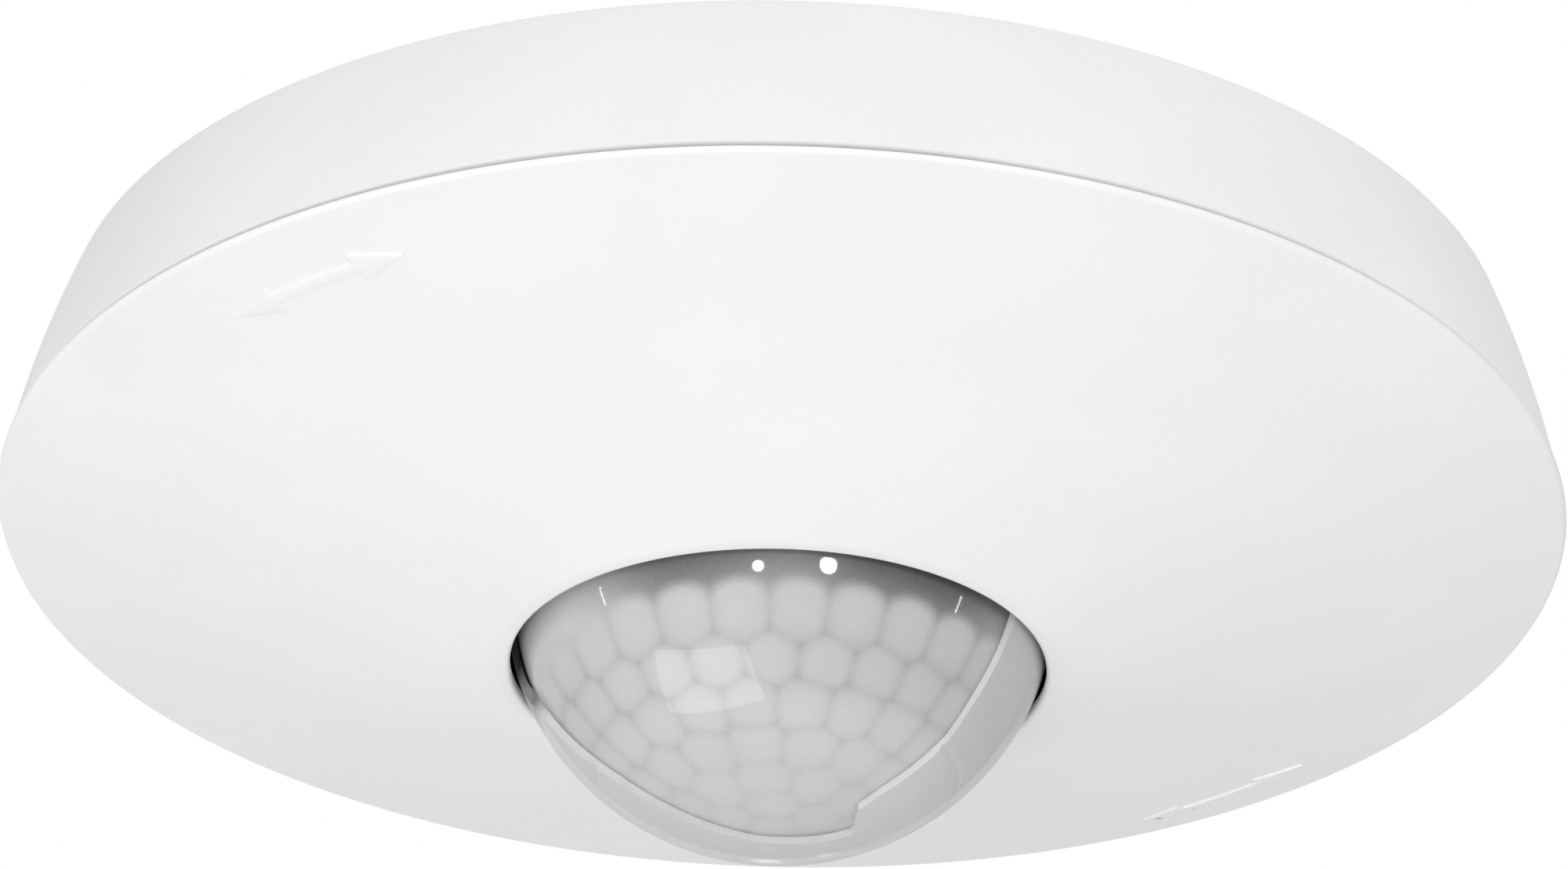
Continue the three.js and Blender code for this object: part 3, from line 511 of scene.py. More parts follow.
def mask_plastic():
    """Thin frosted strip plastic. Its cut edges get a painted highlight where they face the main light,
    and its left end, tucked under the cover's lip, is darker with painted shade."""
    finish = Finish("frosted_mask")
    centre = finish.add("VectorMath", {0: finish.place, 1: (0, 0, -LENS_CENTRE * MM)},
                        operation="ADD").outputs[0]
    radial = finish.add("VectorMath", {0: centre}, operation="NORMALIZE").outputs[0]
    geometry = finish.add("NewGeometry", {})
    facing = finish.add("VectorMath", {0: radial, 1: geometry.outputs["Normal"]},
                        operation="DOT_PRODUCT").outputs["Value"]
    wall = finish.spread(finish.math("ABSOLUTE", facing), 0.72, 0.975, 1, 0)
    sideways = finish.add("SeparateXYZ", {0: geometry.outputs["Normal"]}).outputs["X"]
    # painted highlight on the cut edges that face the main light, on the right half only
    painted_edge_highlight = finish.math("MULTIPLY", wall, finish.spread(sideways, -0.4, -0.05, 1, 0))
    place = finish.add("SeparateXYZ", {0: finish.place})
    rightwards = place.outputs["X"]
    painted_edge_highlight = finish.math("MULTIPLY", painted_edge_highlight, finish.spread(rightwards, -2 * MM, 2 * MM, 0, 1))
    speckle = finish.spread(finish.noise(0.3, 2), *NOISE_MIDDLE, 0.98, 1.02)
    plain = finish.spread(rightwards, *MASK_TONE_CHANGE, *MASK_TONES)
    lift = finish.math("MULTIPLY", painted_edge_highlight, finish.math("SUBTRACT", MASK_EDGE_HIGHLIGHT_TONE, plain))
    paler = finish.math("ADD", plain, lift)
    # painted shade on the left end, under the cover's lip
    painted_shade_mask = finish.math("MULTIPLY", finish.spread(rightwards, *PAINTED_SHADE_X, 1, 0),
                         finish.spread(place.outputs["Z"], *PAINTED_SHADE_Z, 0, 1))
    painted_shade = finish.spread(painted_shade_mask, 0, 1, 1, PAINTED_SHADE_LEVEL)
    tone = finish.math("MULTIPLY", finish.math("MULTIPLY", paler, speckle), painted_shade)
    body = finish.surface(finish.mix(tone, (0, 0, 0), (1, 1, 1)), 0.9, specular_ior_level=0.0)
    seen = finish.add("LightPath", {}).outputs["Is Camera Ray"]
    milk = finish.spread(wall, 0, 1, *MASK_MILK)
    cover = finish.math("MULTIPLY", milk, finish.spread(seen, 0, 1, MASK_LIGHT_SHARE, 1))
    return finish.use(glossed(finish, body, cover, 0.16))


def circuit_board():
    """Green solder mask over darker copper tracks."""
    finish = Finish("circuit_board")
    tracks = finish.add(
        "TexBrick",
        {"Vector": finish.place, "Scale": 260.0, "Mortar Size": 0.035, "Bias": -0.2,
         "Color1": (0.02, 0.13, 0.06, 1), "Color2": (0.016, 0.105, 0.05, 1),
         "Mortar": (0.035, 0.2, 0.09, 1)},
    )
    normal = finish.bump(tracks.outputs["Fac"], 0.02)
    return finish.use(finish.surface(tracks.outputs["Color"], 0.35, normal=normal))


WHITE = plastic("white_casing_plastic", (0.875, 0.875, 0.87), 0.52)
INNER = plastic("inner_plastic", (0.74, 0.74, 0.725), 0.6)
CONTROL = plastic("control_plastic", (0.84, 0.84, 0.82), 0.45)
BLACK = plastic("black_plastic", (0.012, 0.012, 0.012), 0.5, specular=0.3)
TERMINAL = plastic("terminal_plastic", (0.09, 0.26, 0.13), 0.45)
RELAY = plastic("relay_case", (0.03, 0.11, 0.33), 0.35)
FILM = plastic("film_capacitor_case", (0.72, 0.5, 0.06), 0.4)
VARISTOR = plastic("varistor_coat", (0.03, 0.08, 0.3), 0.5, grain=0.8, relief=0.03)
CAN = plastic("capacitor_sleeve", (0.015, 0.015, 0.018), 0.3)
DIP_CASE = plastic("dip_case", (0.4, 0.035, 0.025), 0.45)
ORANGE = plastic("dial_orange", (0.72, 0.2, 0.035), 0.45)
FILTER = plastic("infrared_window", (0.03, 0.02, 0.016), 0.15)
DIODE = plastic("clear_diode", (0.75, 0.74, 0.68), 0.12)
RED_DIODE = plastic("red_diode", (0.5, 0.03, 0.02), 0.15)
GLASS = plastic("fuse_sleeve", (0.6, 0.64, 0.6), 0.12)
STEEL = metal("plated_steel", (0.62, 0.62, 0.61), 0.3)
RUBBER = rubbery("grommet_rubber", (0.045, 0.045, 0.045), 0.5)
FOAM = rubbery("seal_foam", (0.24, 0.24, 0.235), 0.7)
BOARD = circuit_board()
LENS = milky_lens()
MASK = mask_plastic()


# ---- Cover ----
# The cone's outer and inner ends, as (radius, z).
CONE_START = (COVER_RADIUS - COVER_ROUND * 0.7, COVER_TOP - COVER_EDGE - COVER_ROUND * 0.95)
CONE_END = (HOLE_RADIUS + 1.2, HOLE_Z + 0.22)
CONE_SLOPE = (CONE_START[1] - CONE_END[1]) / (CONE_START[0] - CONE_END[0])


def cone_z(radius):
    """The height of the cover's outer face."""
    return CONE_END[1] + (radius - CONE_END[0]) * CONE_SLOPE


def inner_z(radius):
    """The height of the cover's inner face."""
    return cone_z(radius) + COVER_THICKNESS


def cover_profile():
    """Round the section: spigot, rim, cone, lip and the inside."""
    return rounded([
        (SPIGOT_RADIUS, COVER_TOP + GROOVE_HEIGHT - LIP_GAP),
        (COVER_RADIUS - GROOVE_DEPTH, COVER_TOP + GROOVE_HEIGHT - LIP_GAP, 0.05),
        (COVER_RADIUS - GROOVE_DEPTH, COVER_TOP, 0.1),
        (COVER_RADIUS, COVER_TOP, 0.12),
        (COVER_RADIUS, cone_z(COVER_RADIUS), COVER_ROUND),
        (ARROW_RADIUS + 2, cone_z(ARROW_RADIUS + 2)),
        (ARROW_RADIUS - 2, cone_z(ARROW_RADIUS - 2)),
        (HOLE_RADIUS + 1.1, cone_z(HOLE_RADIUS + 1.1), 1.6),
        (HOLE_RADIUS + 0.05, HOLE_Z + 0.02, 0.35),
        (HOLE_RADIUS + 0.1, HOLE_Z + 0.85, 0.5),
        (HOLE_RADIUS + 0.9, HOLE_Z + 2.1),
        (HOLE_RADIUS + 1.6, inner_z(HOLE_RADIUS + 1.6), 0.3),
        (SPIGOT_RADIUS - 2.2, inner_z(SPIGOT_RADIUS - 2.2), 0.4),
        (SPIGOT_RADIUS - 0.8, COVER_TOP - 0.35, 0.3),
        (SPIGOT_RADIUS - 0.8, SPIGOT_TOP, 0.2),
        (SPIGOT_RADIUS, SPIGOT_TOP, 0.2),
    ], 7)


def arrow(name, azimuth):
    """A double-headed arrow bent along an arc, with softened edges, standing proud of the cone."""
    neck = ARROW_HALF_SPAN - ARROW_HEAD_SPAN
    head, shaft = ARROW_HEAD_WIDTH, ARROW_SHAFT_WIDTH
    outline = []
    for side in (1, -1):
        corners = [(-neck, -shaft), (neck, -shaft), (neck, -head), (ARROW_HALF_SPAN, 0), (neck, head)]
        outline += [(side * angle, side * offset) for angle, offset in corners]
    body = bmesh.new()
    body.faces.new([body.verts.new((angle, offset, 0)) for angle, offset in outline])
    for step in range(-15, 16):
        parts = body.verts[:] + body.edges[:] + body.faces[:]
        bmesh.ops.bisect_plane(body, geom=parts, plane_co=(step * ARROW_STEP, 0, 0),
                               plane_no=(1, 0, 0))
    root = bmesh.ops.extrude_face_region(body, geom=body.faces[:])
    for part in root["geom"]:
        if isinstance(part, bmesh.types.BMVert):
            part.co.z = 1
    bmesh.ops.recalc_face_normals(body, faces=body.faces)
    degree = math.radians(1) * ARROW_RADIUS
    for vertex in body.verts:
        vertex.co.x *= degree
        vertex.co.z *= ARROW_ROOT
    rim = [edge for edge in body.edges
           if len(edge.link_faces) == 2 and edge.calc_face_angle() > 1.2
           and all(vertex.co.z < 0.1 for vertex in edge.verts)]
    bmesh.ops.bevel(body, geom=rim, offset=ARROW_EDGE, segments=3, profile=0.5, affect="EDGES",
                    clamp_overlap=True)
    for vertex in body.verts:
        along, offset, depth = vertex.co
        radius = ARROW_RADIUS + offset
        x, y = at(radius, azimuth + math.degrees(along / ARROW_RADIUS))
        vertex.co = Vector((x, y, cone_z(radius) - ARROW_RELIEF + depth)) * MM
    bmesh.ops.recalc_face_normals(body, faces=body.faces)
    mesh = bpy.data.meshes.new(name)
    body.to_mesh(mesh)
    body.free()
    return new_object(name, mesh)


def front_cover():
    cover = turned("cover_shell", supported(cover_profile()))
    legs = []
    for index, azimuth in enumerate(LEG_AZIMUTHS):
        outline = sector(LEG_INNER, LEG_OUTER, azimuth, LEG_SPAN, 0.5)
        legs.append(prism(f"leg_{index}", outline, inner_z(LEG_OUTER) - 0.8, LEG_TOP))
    arrows = [arrow(f"arrow_{index}", azimuth) for index, azimuth in enumerate(ARROW_AZIMUTHS)]
    join(cover, *legs, *arrows)
    return finish_piece(cover, WHITE, "cover", ["front_cover"])


front_cover()


# ---- Casing on the ceiling ----
def skirt_radius(depth):
    share = depth / SKIRT_DEPTH
    bulge = 4 * SKIRT_BULGE * share * (1 - share)
    return SKIRT_TOP_RADIUS + (SKIRT_LIP_RADIUS - SKIRT_TOP_RADIUS) * share + bulge


def post(name, radius, top, bottom, place, segments=48):
    return prism(name, circle(radius, place, segments), bottom, top)


def back_box():
    steps = [0.9 + index for index in range(13)]
    outside = [(skirt_radius(depth), -depth) for depth in steps]
    profile = rounded([
        (0, 0), (SKIRT_TOP_RADIUS, 0, 0.35), *outside, (SKIRT_LIP_RADIUS, -SKIRT_DEPTH, 0.22),
        (SKIRT_LIP_RADIUS - WALL, -SKIRT_DEPTH, 0.2),
        (skirt_radius(BACK_WALL) - WALL, -BACK_WALL, 0.8), (0, -BACK_WALL),
    ])
    shell = turned("back_box_shell", supported(profile))
    root = -BACK_WALL + SUNK
    wall = skirt_radius(BACK_WALL) - WALL + SUNK
    added = []
    for azimuth in RIB_AZIMUTHS:
        outline = sector(RING_INNER, wall, azimuth, RIB_SPAN)
        added.append(prism("rib", outline, RING_TOP + PLAY, root))
    ledge_wall = skirt_radius(-LEDGE_TOP) - WALL + SUNK
    for azimuth in LEDGE_AZIMUTHS:
        outline = sector(LEDGE_INNER, ledge_wall, azimuth, LEDGE_SPAN)
        added.append(prism("ledge", outline, LEDGE_BOTTOM, LEDGE_TOP))
    for azimuth in EAR_AZIMUTHS:
        added.append(post("ear_post", EAR_HALF, root, EAR_TOP + PLAY, at(EAR_RADIUS, azimuth)))
    for azimuth in BOARD_POST_AZIMUTHS:
        place = at(BOARD_POST_AT, azimuth)
        added.append(post("board_post", BOARD_POST_RADIUS, root, BOARD_POST_BOTTOM, place))
    join(shell, *added)
    removed = []
    inside = -BACK_WALL - PAST
    for azimuth in FIXING_AZIMUTHS:
        removed.append(prism("screw_slot", slot(*FIXING_SLOT, FIXING_RADIUS, azimuth), inside, PAST))
        sink = slot(*FIXING_SINK, FIXING_RADIUS, azimuth)
        removed.append(prism("slot_sink", sink, inside, -SINK_DEPTH))
    pilots = [(EAR_PILOT, EAR_TOP - PAST, EAR_RADIUS, azimuth) for azimuth in EAR_AZIMUTHS]
    pilots += [(BOARD_PILOT, BOARD_POST_BOTTOM - PAST, BOARD_POST_AT, azimuth)
               for azimuth in BOARD_POST_AZIMUTHS]
    for (radius, depth), bottom, distance, azimuth in pilots:
        removed.append(post("pilot", radius, depth, bottom, at(distance, azimuth), SMALL))
    removed.append(post("cable_hole", CABLE_HOLE, PAST, inside, CABLE_ENTRY))
    for name, inner, outer, bottom, segments in BACK_GROOVES:
        removed.append(flat_ring(name, inner, outer, bottom, PAST, segments=segments))
    return cut(shell, *removed)


finish_piece(back_box(), WHITE, "casing", ["back_box"])


def ceiling_seal():
    low, high = node_box("ceiling_seal")
    ring = flat_ring("seal_ring", SEAL_INNER, high[0], low[2], high[2], 0.25, 256)
    return finish_piece(ring, FOAM, "casing", ["ceiling_seal"], 50)


def cable_grommet():
    """A rubber bush in the cable entry, its sloping collar inside the box."""
    neck, flange, bore = CABLE_HOLE - 0.3, CABLE_HOLE + 1.5, 4.2
    profile = rounded([
        (bore, -0.2, 0.3), (neck, -0.2, 0.4), (neck, -2.7), (flange, -2.7, 0.3), (flange, -3.7, 0.4),
        (neck - 0.6, -4, 0.2), (bore + 0.5, -5.4, 0.2), (bore, -5.4, 0.2),
    ])
    bush = turned("grommet_bush", supported(profile), ROUND, CABLE_ENTRY)
    return finish_piece(bush, RUBBER, "casing", ["cable_grommet"])


ceiling_seal()
cable_grommet()


# ---- Inner housing, its settings and its screws ----
def module_housing():
    profile = rounded([
        (HOUSING_RADIUS - HOUSING_WALL, HOUSING_TOP, 0.3),
        (HOUSING_RADIUS - HOUSING_WALL, HOUSING_PLATE, 0.6), (LENS_WELL, HOUSING_PLATE),
        (LENS_WELL, HOUSING_FACE, 0.2), (HOUSING_RADIUS, HOUSING_FACE, 1.1),
        (HOUSING_RADIUS, HOUSING_TOP, 0.3),
    ])
    shell = turned("housing_shell", supported(profile), 256)
    cavity_top = HOUSING_TOP + PAST
    cavity = post("cavity", HOUSING_RADIUS - HOUSING_WALL, cavity_top, HOUSING_PLATE, (0, 0), 256)
    ears = []
    for azimuth in EAR_AZIMUTHS:
        outline = slot(EAR_LENGTH, EAR_HALF, EAR_RADIUS + EAR_HALF - EAR_LENGTH / 2, azimuth)
        ears.append(prism("ear", outline, EAR_BOTTOM, EAR_TOP))
    join(shell, *ears)
    cut(shell, cavity)
    root = HOUSING_PLATE - SUNK
    added = []
    for azimuth in CONTROL_POST_AZIMUTHS:
        place = at(CONTROL_POST_AT, azimuth)
        added.append(post("board_stand", CONTROL_POST_RADIUS, CONTROL_POST_TOP, root, place))
    for azimuth in RETAINER_AZIMUTHS:
        place = at(RETAINER_SCREW_RADIUS, azimuth)
        added.append(post("boss", BOSS_RADIUS, HOUSING_PLATE + BOSS_HEIGHT, root, place))
    for azimuth in DIAL_AZIMUTHS.values():
        added += dial_scale(azimuth)
    join(shell, *added)
    below = HOUSING_FACE - PAST
    removed = []
    for azimuth in EAR_AZIMUTHS:
        place = at(EAR_RADIUS, azimuth)
        removed.append(post("ear_relief", EAR_HALF + PLAY, 0, EAR_TOP, place))
        removed.append(post("ear_hole", EAR_HOLE, 0, EAR_BOTTOM - PAST, place))
    for azimuth in RETAINER_AZIMUTHS:
        place = at(RETAINER_SCREW_RADIUS, azimuth)
        removed.append(post("retainer_pilot", RETAINER_PILOT, 0, below, place))
    for azimuth in DIAL_AZIMUTHS.values():
        removed.append(post("dial_hole", DIAL_HOLE, 0, below, at(SETTING_RADIUS, azimuth), ROUND))
    removed.append(post("test_hole", TEST_HOLE, 0, below, at(SETTING_RADIUS, TEST_AZIMUTH), ROUND))
    length, depth = DIP_HOLE
    window = rectangle(-length, length, DIP_Y - depth, DIP_Y + depth, 0.5)
    removed.append(prism("dip_hole", window, below, HOUSING_PLATE + PAST))
    door = rectangle(*TERMINAL_DOOR, 0.8)
    removed.append(prism("terminal_door", door, below, HOUSING_PLATE + PAST))
    return cut(shell, *removed)


def dial_scale(azimuth):
    """Raised ticks round a dial, the last one longer, from one end of its sweep to the other."""
    centre = at(SETTING_RADIUS, azimuth)
    ticks = []
    for step in range(7):
        out = at(1, -DIAL_SWEEP + DIAL_SWEEP * step / 3)
        across = Vector((-out.y, out.x)) * 0.16
        near, far = 4.7, 6.2 if step in (0, 6) else 5.7
        outline = [centre + out * near - across, centre + out * far - across,
                   centre + out * far + across, centre + out * near + across]
        ticks.append(prism("tick", outline, HOUSING_FACE - 0.22, HOUSING_FACE + 0.5))
    return ticks


finish_piece(module_housing(), INNER, "casing", ["module_housing"])


def dial(node, body, azimuth):
    """A fluted knob with a pointer slot, open towards one side."""
    low, high = node_box(node)
    centre = at(SETTING_RADIUS, azimuth)
    outline = []
    for step in range(144):
        angle = 2 * math.pi * step / 144
        flute = 0.3 * max(0, math.cos(12 * angle)) ** 4
        outline.append(centre + (DIAL_RADIUS - flute) * Vector((math.cos(angle), math.sin(angle))))
    knob = prism(node + "_knob", outline, low[2], high[2])
    pointer = [(-2.8, -0.5), (2.0, -0.5), (2.0, -0.95), (2.9, 0), (2.0, 0.95), (2.0, 0.5), (-2.8, 0.5)]
    outline = [centre + Vector(corner) for corner in pointer]
    cut(knob, prism("pointer", outline, low[2] - PAST, low[2] + 1.1))
    soften(knob, 0.12)
    return finish_piece(knob, ORANGE, body, [node])


def soften(piece, width):
    bevel = piece.modifiers.new("soft_edges", "BEVEL")
    bevel.width = width * MM
    bevel.segments = 2
    bevel.limit_method = "ANGLE"
    bevel.angle_limit = math.radians(40)


def test_button():
    low, high = node_box("test_button")
    dish = low[2] + 0.12
    profile = rounded([(0, dish), (1.0, dish, 0.4), (1.5, low[2], 0.2), (TEST_RADIUS, low[2], 0.35),
                       (TEST_RADIUS, high[2], 0.1), (0, high[2])])
    button = turned("test_plunger", supported(profile), ROUND, at(SETTING_RADIUS, TEST_AZIMUTH))
    return finish_piece(button, CONTROL, "test_control", ["test_button"])


def screw(node, head_depth, shank_radius, crossed, body="casing"):
    """A pan-head screw seen from below, with a cross or a straight slot."""
    low, high = node_box(node)
    place = Vector(((low[0] + high[0]) / 2, (low[1] + high[1]) / 2))
    radius = (high[0] - low[0]) / 2
    bottom, head_top = low[2], low[2] + head_depth
    profile = [(0, bottom), (radius * 0.6, bottom, 0.3), (radius, bottom + head_depth * 0.35, 0.25),
               (radius, head_top, 0.1)]
    if shank_radius < radius:
        profile += [(shank_radius, head_top), (shank_radius, high[2] - 0.6)]
    profile += [(shank_radius * 0.6, high[2]), (0, high[2])]
    body_mesh = turned(node + "_body", supported(rounded(profile, 4)), 40, place)
    arm, half = radius * (0.62 if crossed else 1.2), radius * (0.13 if crossed else 0.22)
    depth = bottom + head_depth * 0.5
    bars = [rectangle(-arm, arm, -half, half)]
    if crossed:
        bars.append(rectangle(-half, half, -arm, arm))
    for bar in bars:
        cut(body_mesh, prism("bar", [place + corner for corner in bar], bottom - PAST, depth))
    return finish_piece(body_mesh, STEEL, body, [node])


for setting, setting_azimuth in DIAL_AZIMUTHS.items():
    dial(f"{setting}_dial", f"{setting}_control", setting_azimuth)
test_button()
for number in (1, 2, 3):
    screw(f"housing_screw_{number}", 1.5, 1.0, True)
    screw(f"retainer_screw_{number}", 1.3, 0.9, True)
for number in (1, 2, 3, 4):
    screw(f"terminal_screw_{number}", 1.6, 1.3, False, f"clamp_{number}")


# ---- Locking ring ----
def locking_ring():
    band = flat_ring("ring_band", RING_INNER, RING_BAND, RING_BOTTOM, RING_TOP, 0.2, steps=3)
    added = []
    for azimuth in LEDGE_AZIMUTHS:
        outline = sector(RING_BAND - 0.4, RING_FLANGE, azimuth, FLANGE_SPAN)
        added.append(prism("flange", outline, LEDGE_TOP + PLAY, FLANGE_TOP))
    for azimuth in LEG_AZIMUTHS:
        for side in (-1, 1):
            middle = azimuth + side * (LEG_SPAN / 2 + 1.4)
            outline = sector(LEG_INNER + 0.4, RING_INNER + 0.4, middle, KEY_SPAN)
            added.append(prism("key", outline, RING_BOTTOM, RING_TOP))
    join(band, *added)
    return finish_piece(band, INNER, "lock_ring", ["locking_ring"])


locking_ring()


# ---- Lens ----
# The lens cells stand in rings about the pole: polar angle, cells in the ring, first azimuth.
CELL_RINGS = (
    (60.0, 25, 4.7), (48.9, 23, -2.0), (38.0, 20, 9.0), (27.9, 15, -8.6), (18.1, 10, -7.4),
    (10.2, 5, -3.3), (0, 1, 0),
)
FIRST_RING_WEIGHT = 3.5  # square millimetres by which the first ring's cells push down the next
CELL_CAP = 2.25  # radius of the rounded upper end of the first ring's cells
CELL_CAP_SOFT = 0.75  # how gradually that end melts into the collar
CELL_CAP_SHAPE = (0.82, 1.14)  # how that end's distance counts sideways and upwards
CELL_ROUND = 2.3  # how far from its middle a cell bulges inwards
CELL_BULGE = 0.3
CELL_MILK = (0.78, 0.98)  # how far the collar and the cells hide what lies behind
CELL_TONE = 0.565
PILLOW_TONE = 0.03  # how much paler a cell's middle is
PILLOW_RADIUS = 2.2
SEAM_WIDTH = 0.42
SEAM_TONES = (0.014, 0.042)  # how much darker a seam is near the pole and near the collar
SEAM_POLARS = (15, 50)
# OUTER_CELL_SHADE and RIGHT_CELL_SHADE are painted shade in the cells' tone.
OUTER_CELL_SHADE = 0.035  # how much darker the cells near the collar are,
RIGHT_CELL_SHADE = 0.04  # and how much more so on the right
OUTER_CELL_POLARS = (32, 52)
RIGHT_CELL_AZIMUTHS = (-20, 30)
# The collar's dark tone paints in what shows through it: partly the black parts inside, partly the
# shade inside.
COLLAR_TONE = 0.15
# Painted light on the collar, paler towards its sides: how much, on which side, and the azimuths it
# grows between.
COLLAR_SIDE_LIGHT = ((0.06, -1, -30, 15), (0.42, -1, 24, 60), (0.2, 1, 42, 66))
COLLAR_FOOT = (0.1, 72, 8)  # how much, from which polar angle down, and over how much of it
# A painted glare on the collar in front, round the glints of the spot lamps.
COLLAR_FRONT_GLARE = (0.1, 3, 13)  # how much, round which azimuth, and how wide


def smooth(value, low, high):
    """0 below low and 1 above high, with a smooth change between."""
    share = np.clip((value - low) / (high - low), 0, 1)
    return share * share * (3 - 2 * share)


def cell_field(points):
    """For unit vectors from the lens centre: how far each lies inside a cell (0 in the collar),
    how much seam it holds (over 1 where three cells meet), and the distance from its cell's
    middle in millimetres."""
    middles = []
    weights = []
    for ring, (polar, count, start) in enumerate(CELL_RINGS):
        for index in range(count):
            x, y = at(math.sin(math.radians(polar)), start + 360 * index / count)
            middles.append((x, y, -math.cos(math.radians(polar))))
            weights.append(FIRST_RING_WEIGHT if ring == 0 else 0)
    middles = np.array(middles)
    weights = np.array(weights)
    away = np.linalg.norm(points[:, None, :] - middles[None], axis=2) * LENS_OUTER
    power = away ** 2 - weights
    order = np.argsort(power, axis=1)
    rows = np.arange(len(points))
    nearest = order[:, 0]
    seam = np.zeros(len(points))
    for neighbour in (order[:, 1], order[:, 2]):
        apart = np.linalg.norm(middles[nearest] - middles[neighbour], axis=1) * LENS_OUTER
        inwards = (power[rows, neighbour] - power[rows, nearest]) / (2 * apart)
        seam += np.exp(-(inwards / SEAM_WIDTH) ** 2)
    near = away[rows, nearest]
    polar = np.arccos(np.clip(-points[:, 2], -1, 1))
    upwards = (polar - math.radians(CELL_RINGS[0][0])) * LENS_OUTER
    sideways = CELL_CAP_SHAPE[0] * np.sqrt(np.maximum(near ** 2 - upwards ** 2, 0))
    above = CELL_CAP_SHAPE[1] * np.maximum(upwards, 0)
    from_cap = np.hypot(sideways, above)
    inside = 1 - smooth(from_cap, CELL_CAP - CELL_CAP_SOFT, CELL_CAP + CELL_CAP_SOFT)
    inside = np.where(weights[nearest] > 0, inside, 1.0)
    return inside, seam, near


def arc(radius, start, end, steps):
    """Points about the lens centre between two polar angles, where 0 is straight down."""
    sweep = [math.radians(start + (end - start) * step / steps) for step in range(steps + 1)]
    return [Vector((radius * math.sin(angle), LENS_CENTRE - radius * math.cos(angle)))
            for angle in sweep]


def lens_tone(points, inside, seam, near):
    """How pale the lens is, painted light and shade included. The seams show most near the collar and
    fade towards the pole, the cells near the collar get painted shade, more on the right, and the
    collar gets painted light to both sides and a painted glare in front."""
    polar = np.degrees(np.arccos(np.clip(-points[:, 2], -1, 1)))
    azimuth = np.degrees(np.arctan2(points[:, 0], -points[:, 1]))
    seam_depth = SEAM_TONES[0] + (SEAM_TONES[1] - SEAM_TONES[0]) * smooth(polar, *SEAM_POLARS)
    pillow = PILLOW_TONE * np.clip(1 - (near / PILLOW_RADIUS) ** 2, 0, 1)
    cells = CELL_TONE + pillow - seam_depth * (seam + 0.5 * np.maximum(seam - 1, 0))
    # painted shade on the cells near the collar, more on the right
    painted_shade = OUTER_CELL_SHADE + RIGHT_CELL_SHADE * smooth(azimuth, *RIGHT_CELL_AZIMUTHS)
    cells -= painted_shade * smooth(polar, *OUTER_CELL_POLARS)
    collar = np.full(len(points), COLLAR_TONE)
    # painted light on the collar's sides
    for lift, side, first, last in COLLAR_SIDE_LIGHT:
        collar += lift * smooth(side * azimuth, first, last)
    lift, edge, width = COLLAR_FOOT
    collar += lift * smooth(edge - polar, 0, width)
    # painted glare on the collar in front
    lift, middle, width = COLLAR_FRONT_GLARE
    collar += lift * np.exp(-((azimuth - middle) / width) ** 2)
    return collar + (cells - collar) * inside


def lens_dome():
    """The ball lens: plain outside, with a shallow bulge inside for each cell."""
    inner = LENS_OUTER - LENS_THICKNESS
    outside = arc(LENS_OUTER, 0, 90, 150)
    inside = arc(inner, 90, 0, 60)
    flange = [(LENS_OUTER, LENS_FLANGE_BOTTOM), (LENS_FLANGE_RADIUS, LENS_FLANGE_BOTTOM),
              (LENS_FLANGE_RADIUS, LENS_FLANGE_TOP), (inner, LENS_FLANGE_TOP)]
    dome = turned("lens_shell", outside + [Vector(corner) for corner in flange] + inside, 400)
    mesh = dome.data
    places = np.array([vertex.co for vertex in mesh.vertices]) / MM - (0, 0, LENS_CENTRE)
    radii = np.linalg.norm(places, axis=1)
    points = places / radii[:, None]
    cell, seam, near = cell_field(points)
    cell = np.where(places[:, 2] < -0.5, cell, 0)
    tone = lens_tone(points, cell, seam, near)
    bulge = CELL_BULGE * np.clip(1 - (near / CELL_ROUND) ** 2, 0, 1) * cell
    milk = CELL_MILK[0] + (CELL_MILK[1] - CELL_MILK[0]) * cell
    middle = Vector((0, 0, LENS_CENTRE)) * MM
    for vertex, radius, sag in zip(mesh.vertices, radii, bulge):
        if radius < LENS_OUTER - LENS_THICKNESS / 2:
            vertex.co = middle + (vertex.co - middle) * (radius - sag) / radius
    for name, values in (("tone", tone), ("milk", milk)):
        attribute = mesh.attributes.new(name, "FLOAT", "POINT")
        attribute.data.foreach_set("value", values.astype(np.float32))
    return finish_piece(dome, LENS, "casing", ["lens_dome"])


lens_dome()


# The mask's open window seen from below: in from the rim, past the pole and out to the left,
# where the mask's end is snapped off.
MASK_WINDOW = (
    (40, -40), (27.0, -13.8), (17.1, -9.0), (15.8, -8.2), (14.2, -7.3), (12.3, -5.8), (9.7, -4.7),
    (7.8, -3.95), (6.1, -2.8), (5.85, -1.4), (5.9, 0.2), (5.5, 0.75), (3.3, 1.0), (-1.3, 0.7),
    (-5.3, -0.3), (-8.0, -0.9), (-11.3, -1.4), (-13.4, -1.2), (-15.2, -0.8), (-16.7, -0.4),
    (-18.0, 0.7), (-19.2, 3.4), (-60, 11), (-60, -40),
)


def lens_mask():
    """The strip that covers part of the lens, with a score line round it."""
    outside = []
    for step in range(241):
        polar = 90 * step / 240
        groove = SCORE_DEPTH * math.exp(-((polar - SCORE_POLAR) / SCORE_WIDTH) ** 2)
        outside += arc(MASK_OUTER - groove, polar, polar, 1)[:1]
    inside = arc(MASK_INNER, 90, 0, 90)
    rim = rounded([(MASK_OUTER, MASK_RING_BOTTOM), (MASK_RING_RADIUS, MASK_RING_BOTTOM, 0.15),
                   (MASK_RING_RADIUS, MASK_RING_TOP, 0.15), (MASK_INNER, MASK_RING_TOP)])
    shell = turned("mask_shell", outside + rim[1:] + inside, 256)
    window_top = LENS_CENTRE - MASK_OUTER * math.cos(math.radians(MASK_RING_POLAR))
    cut(shell, prism("window", [Vector(corner) for corner in MASK_WINDOW], -60, window_top))
    return finish_piece(shell, MASK, "mask", ["lens_mask"])


lens_mask()


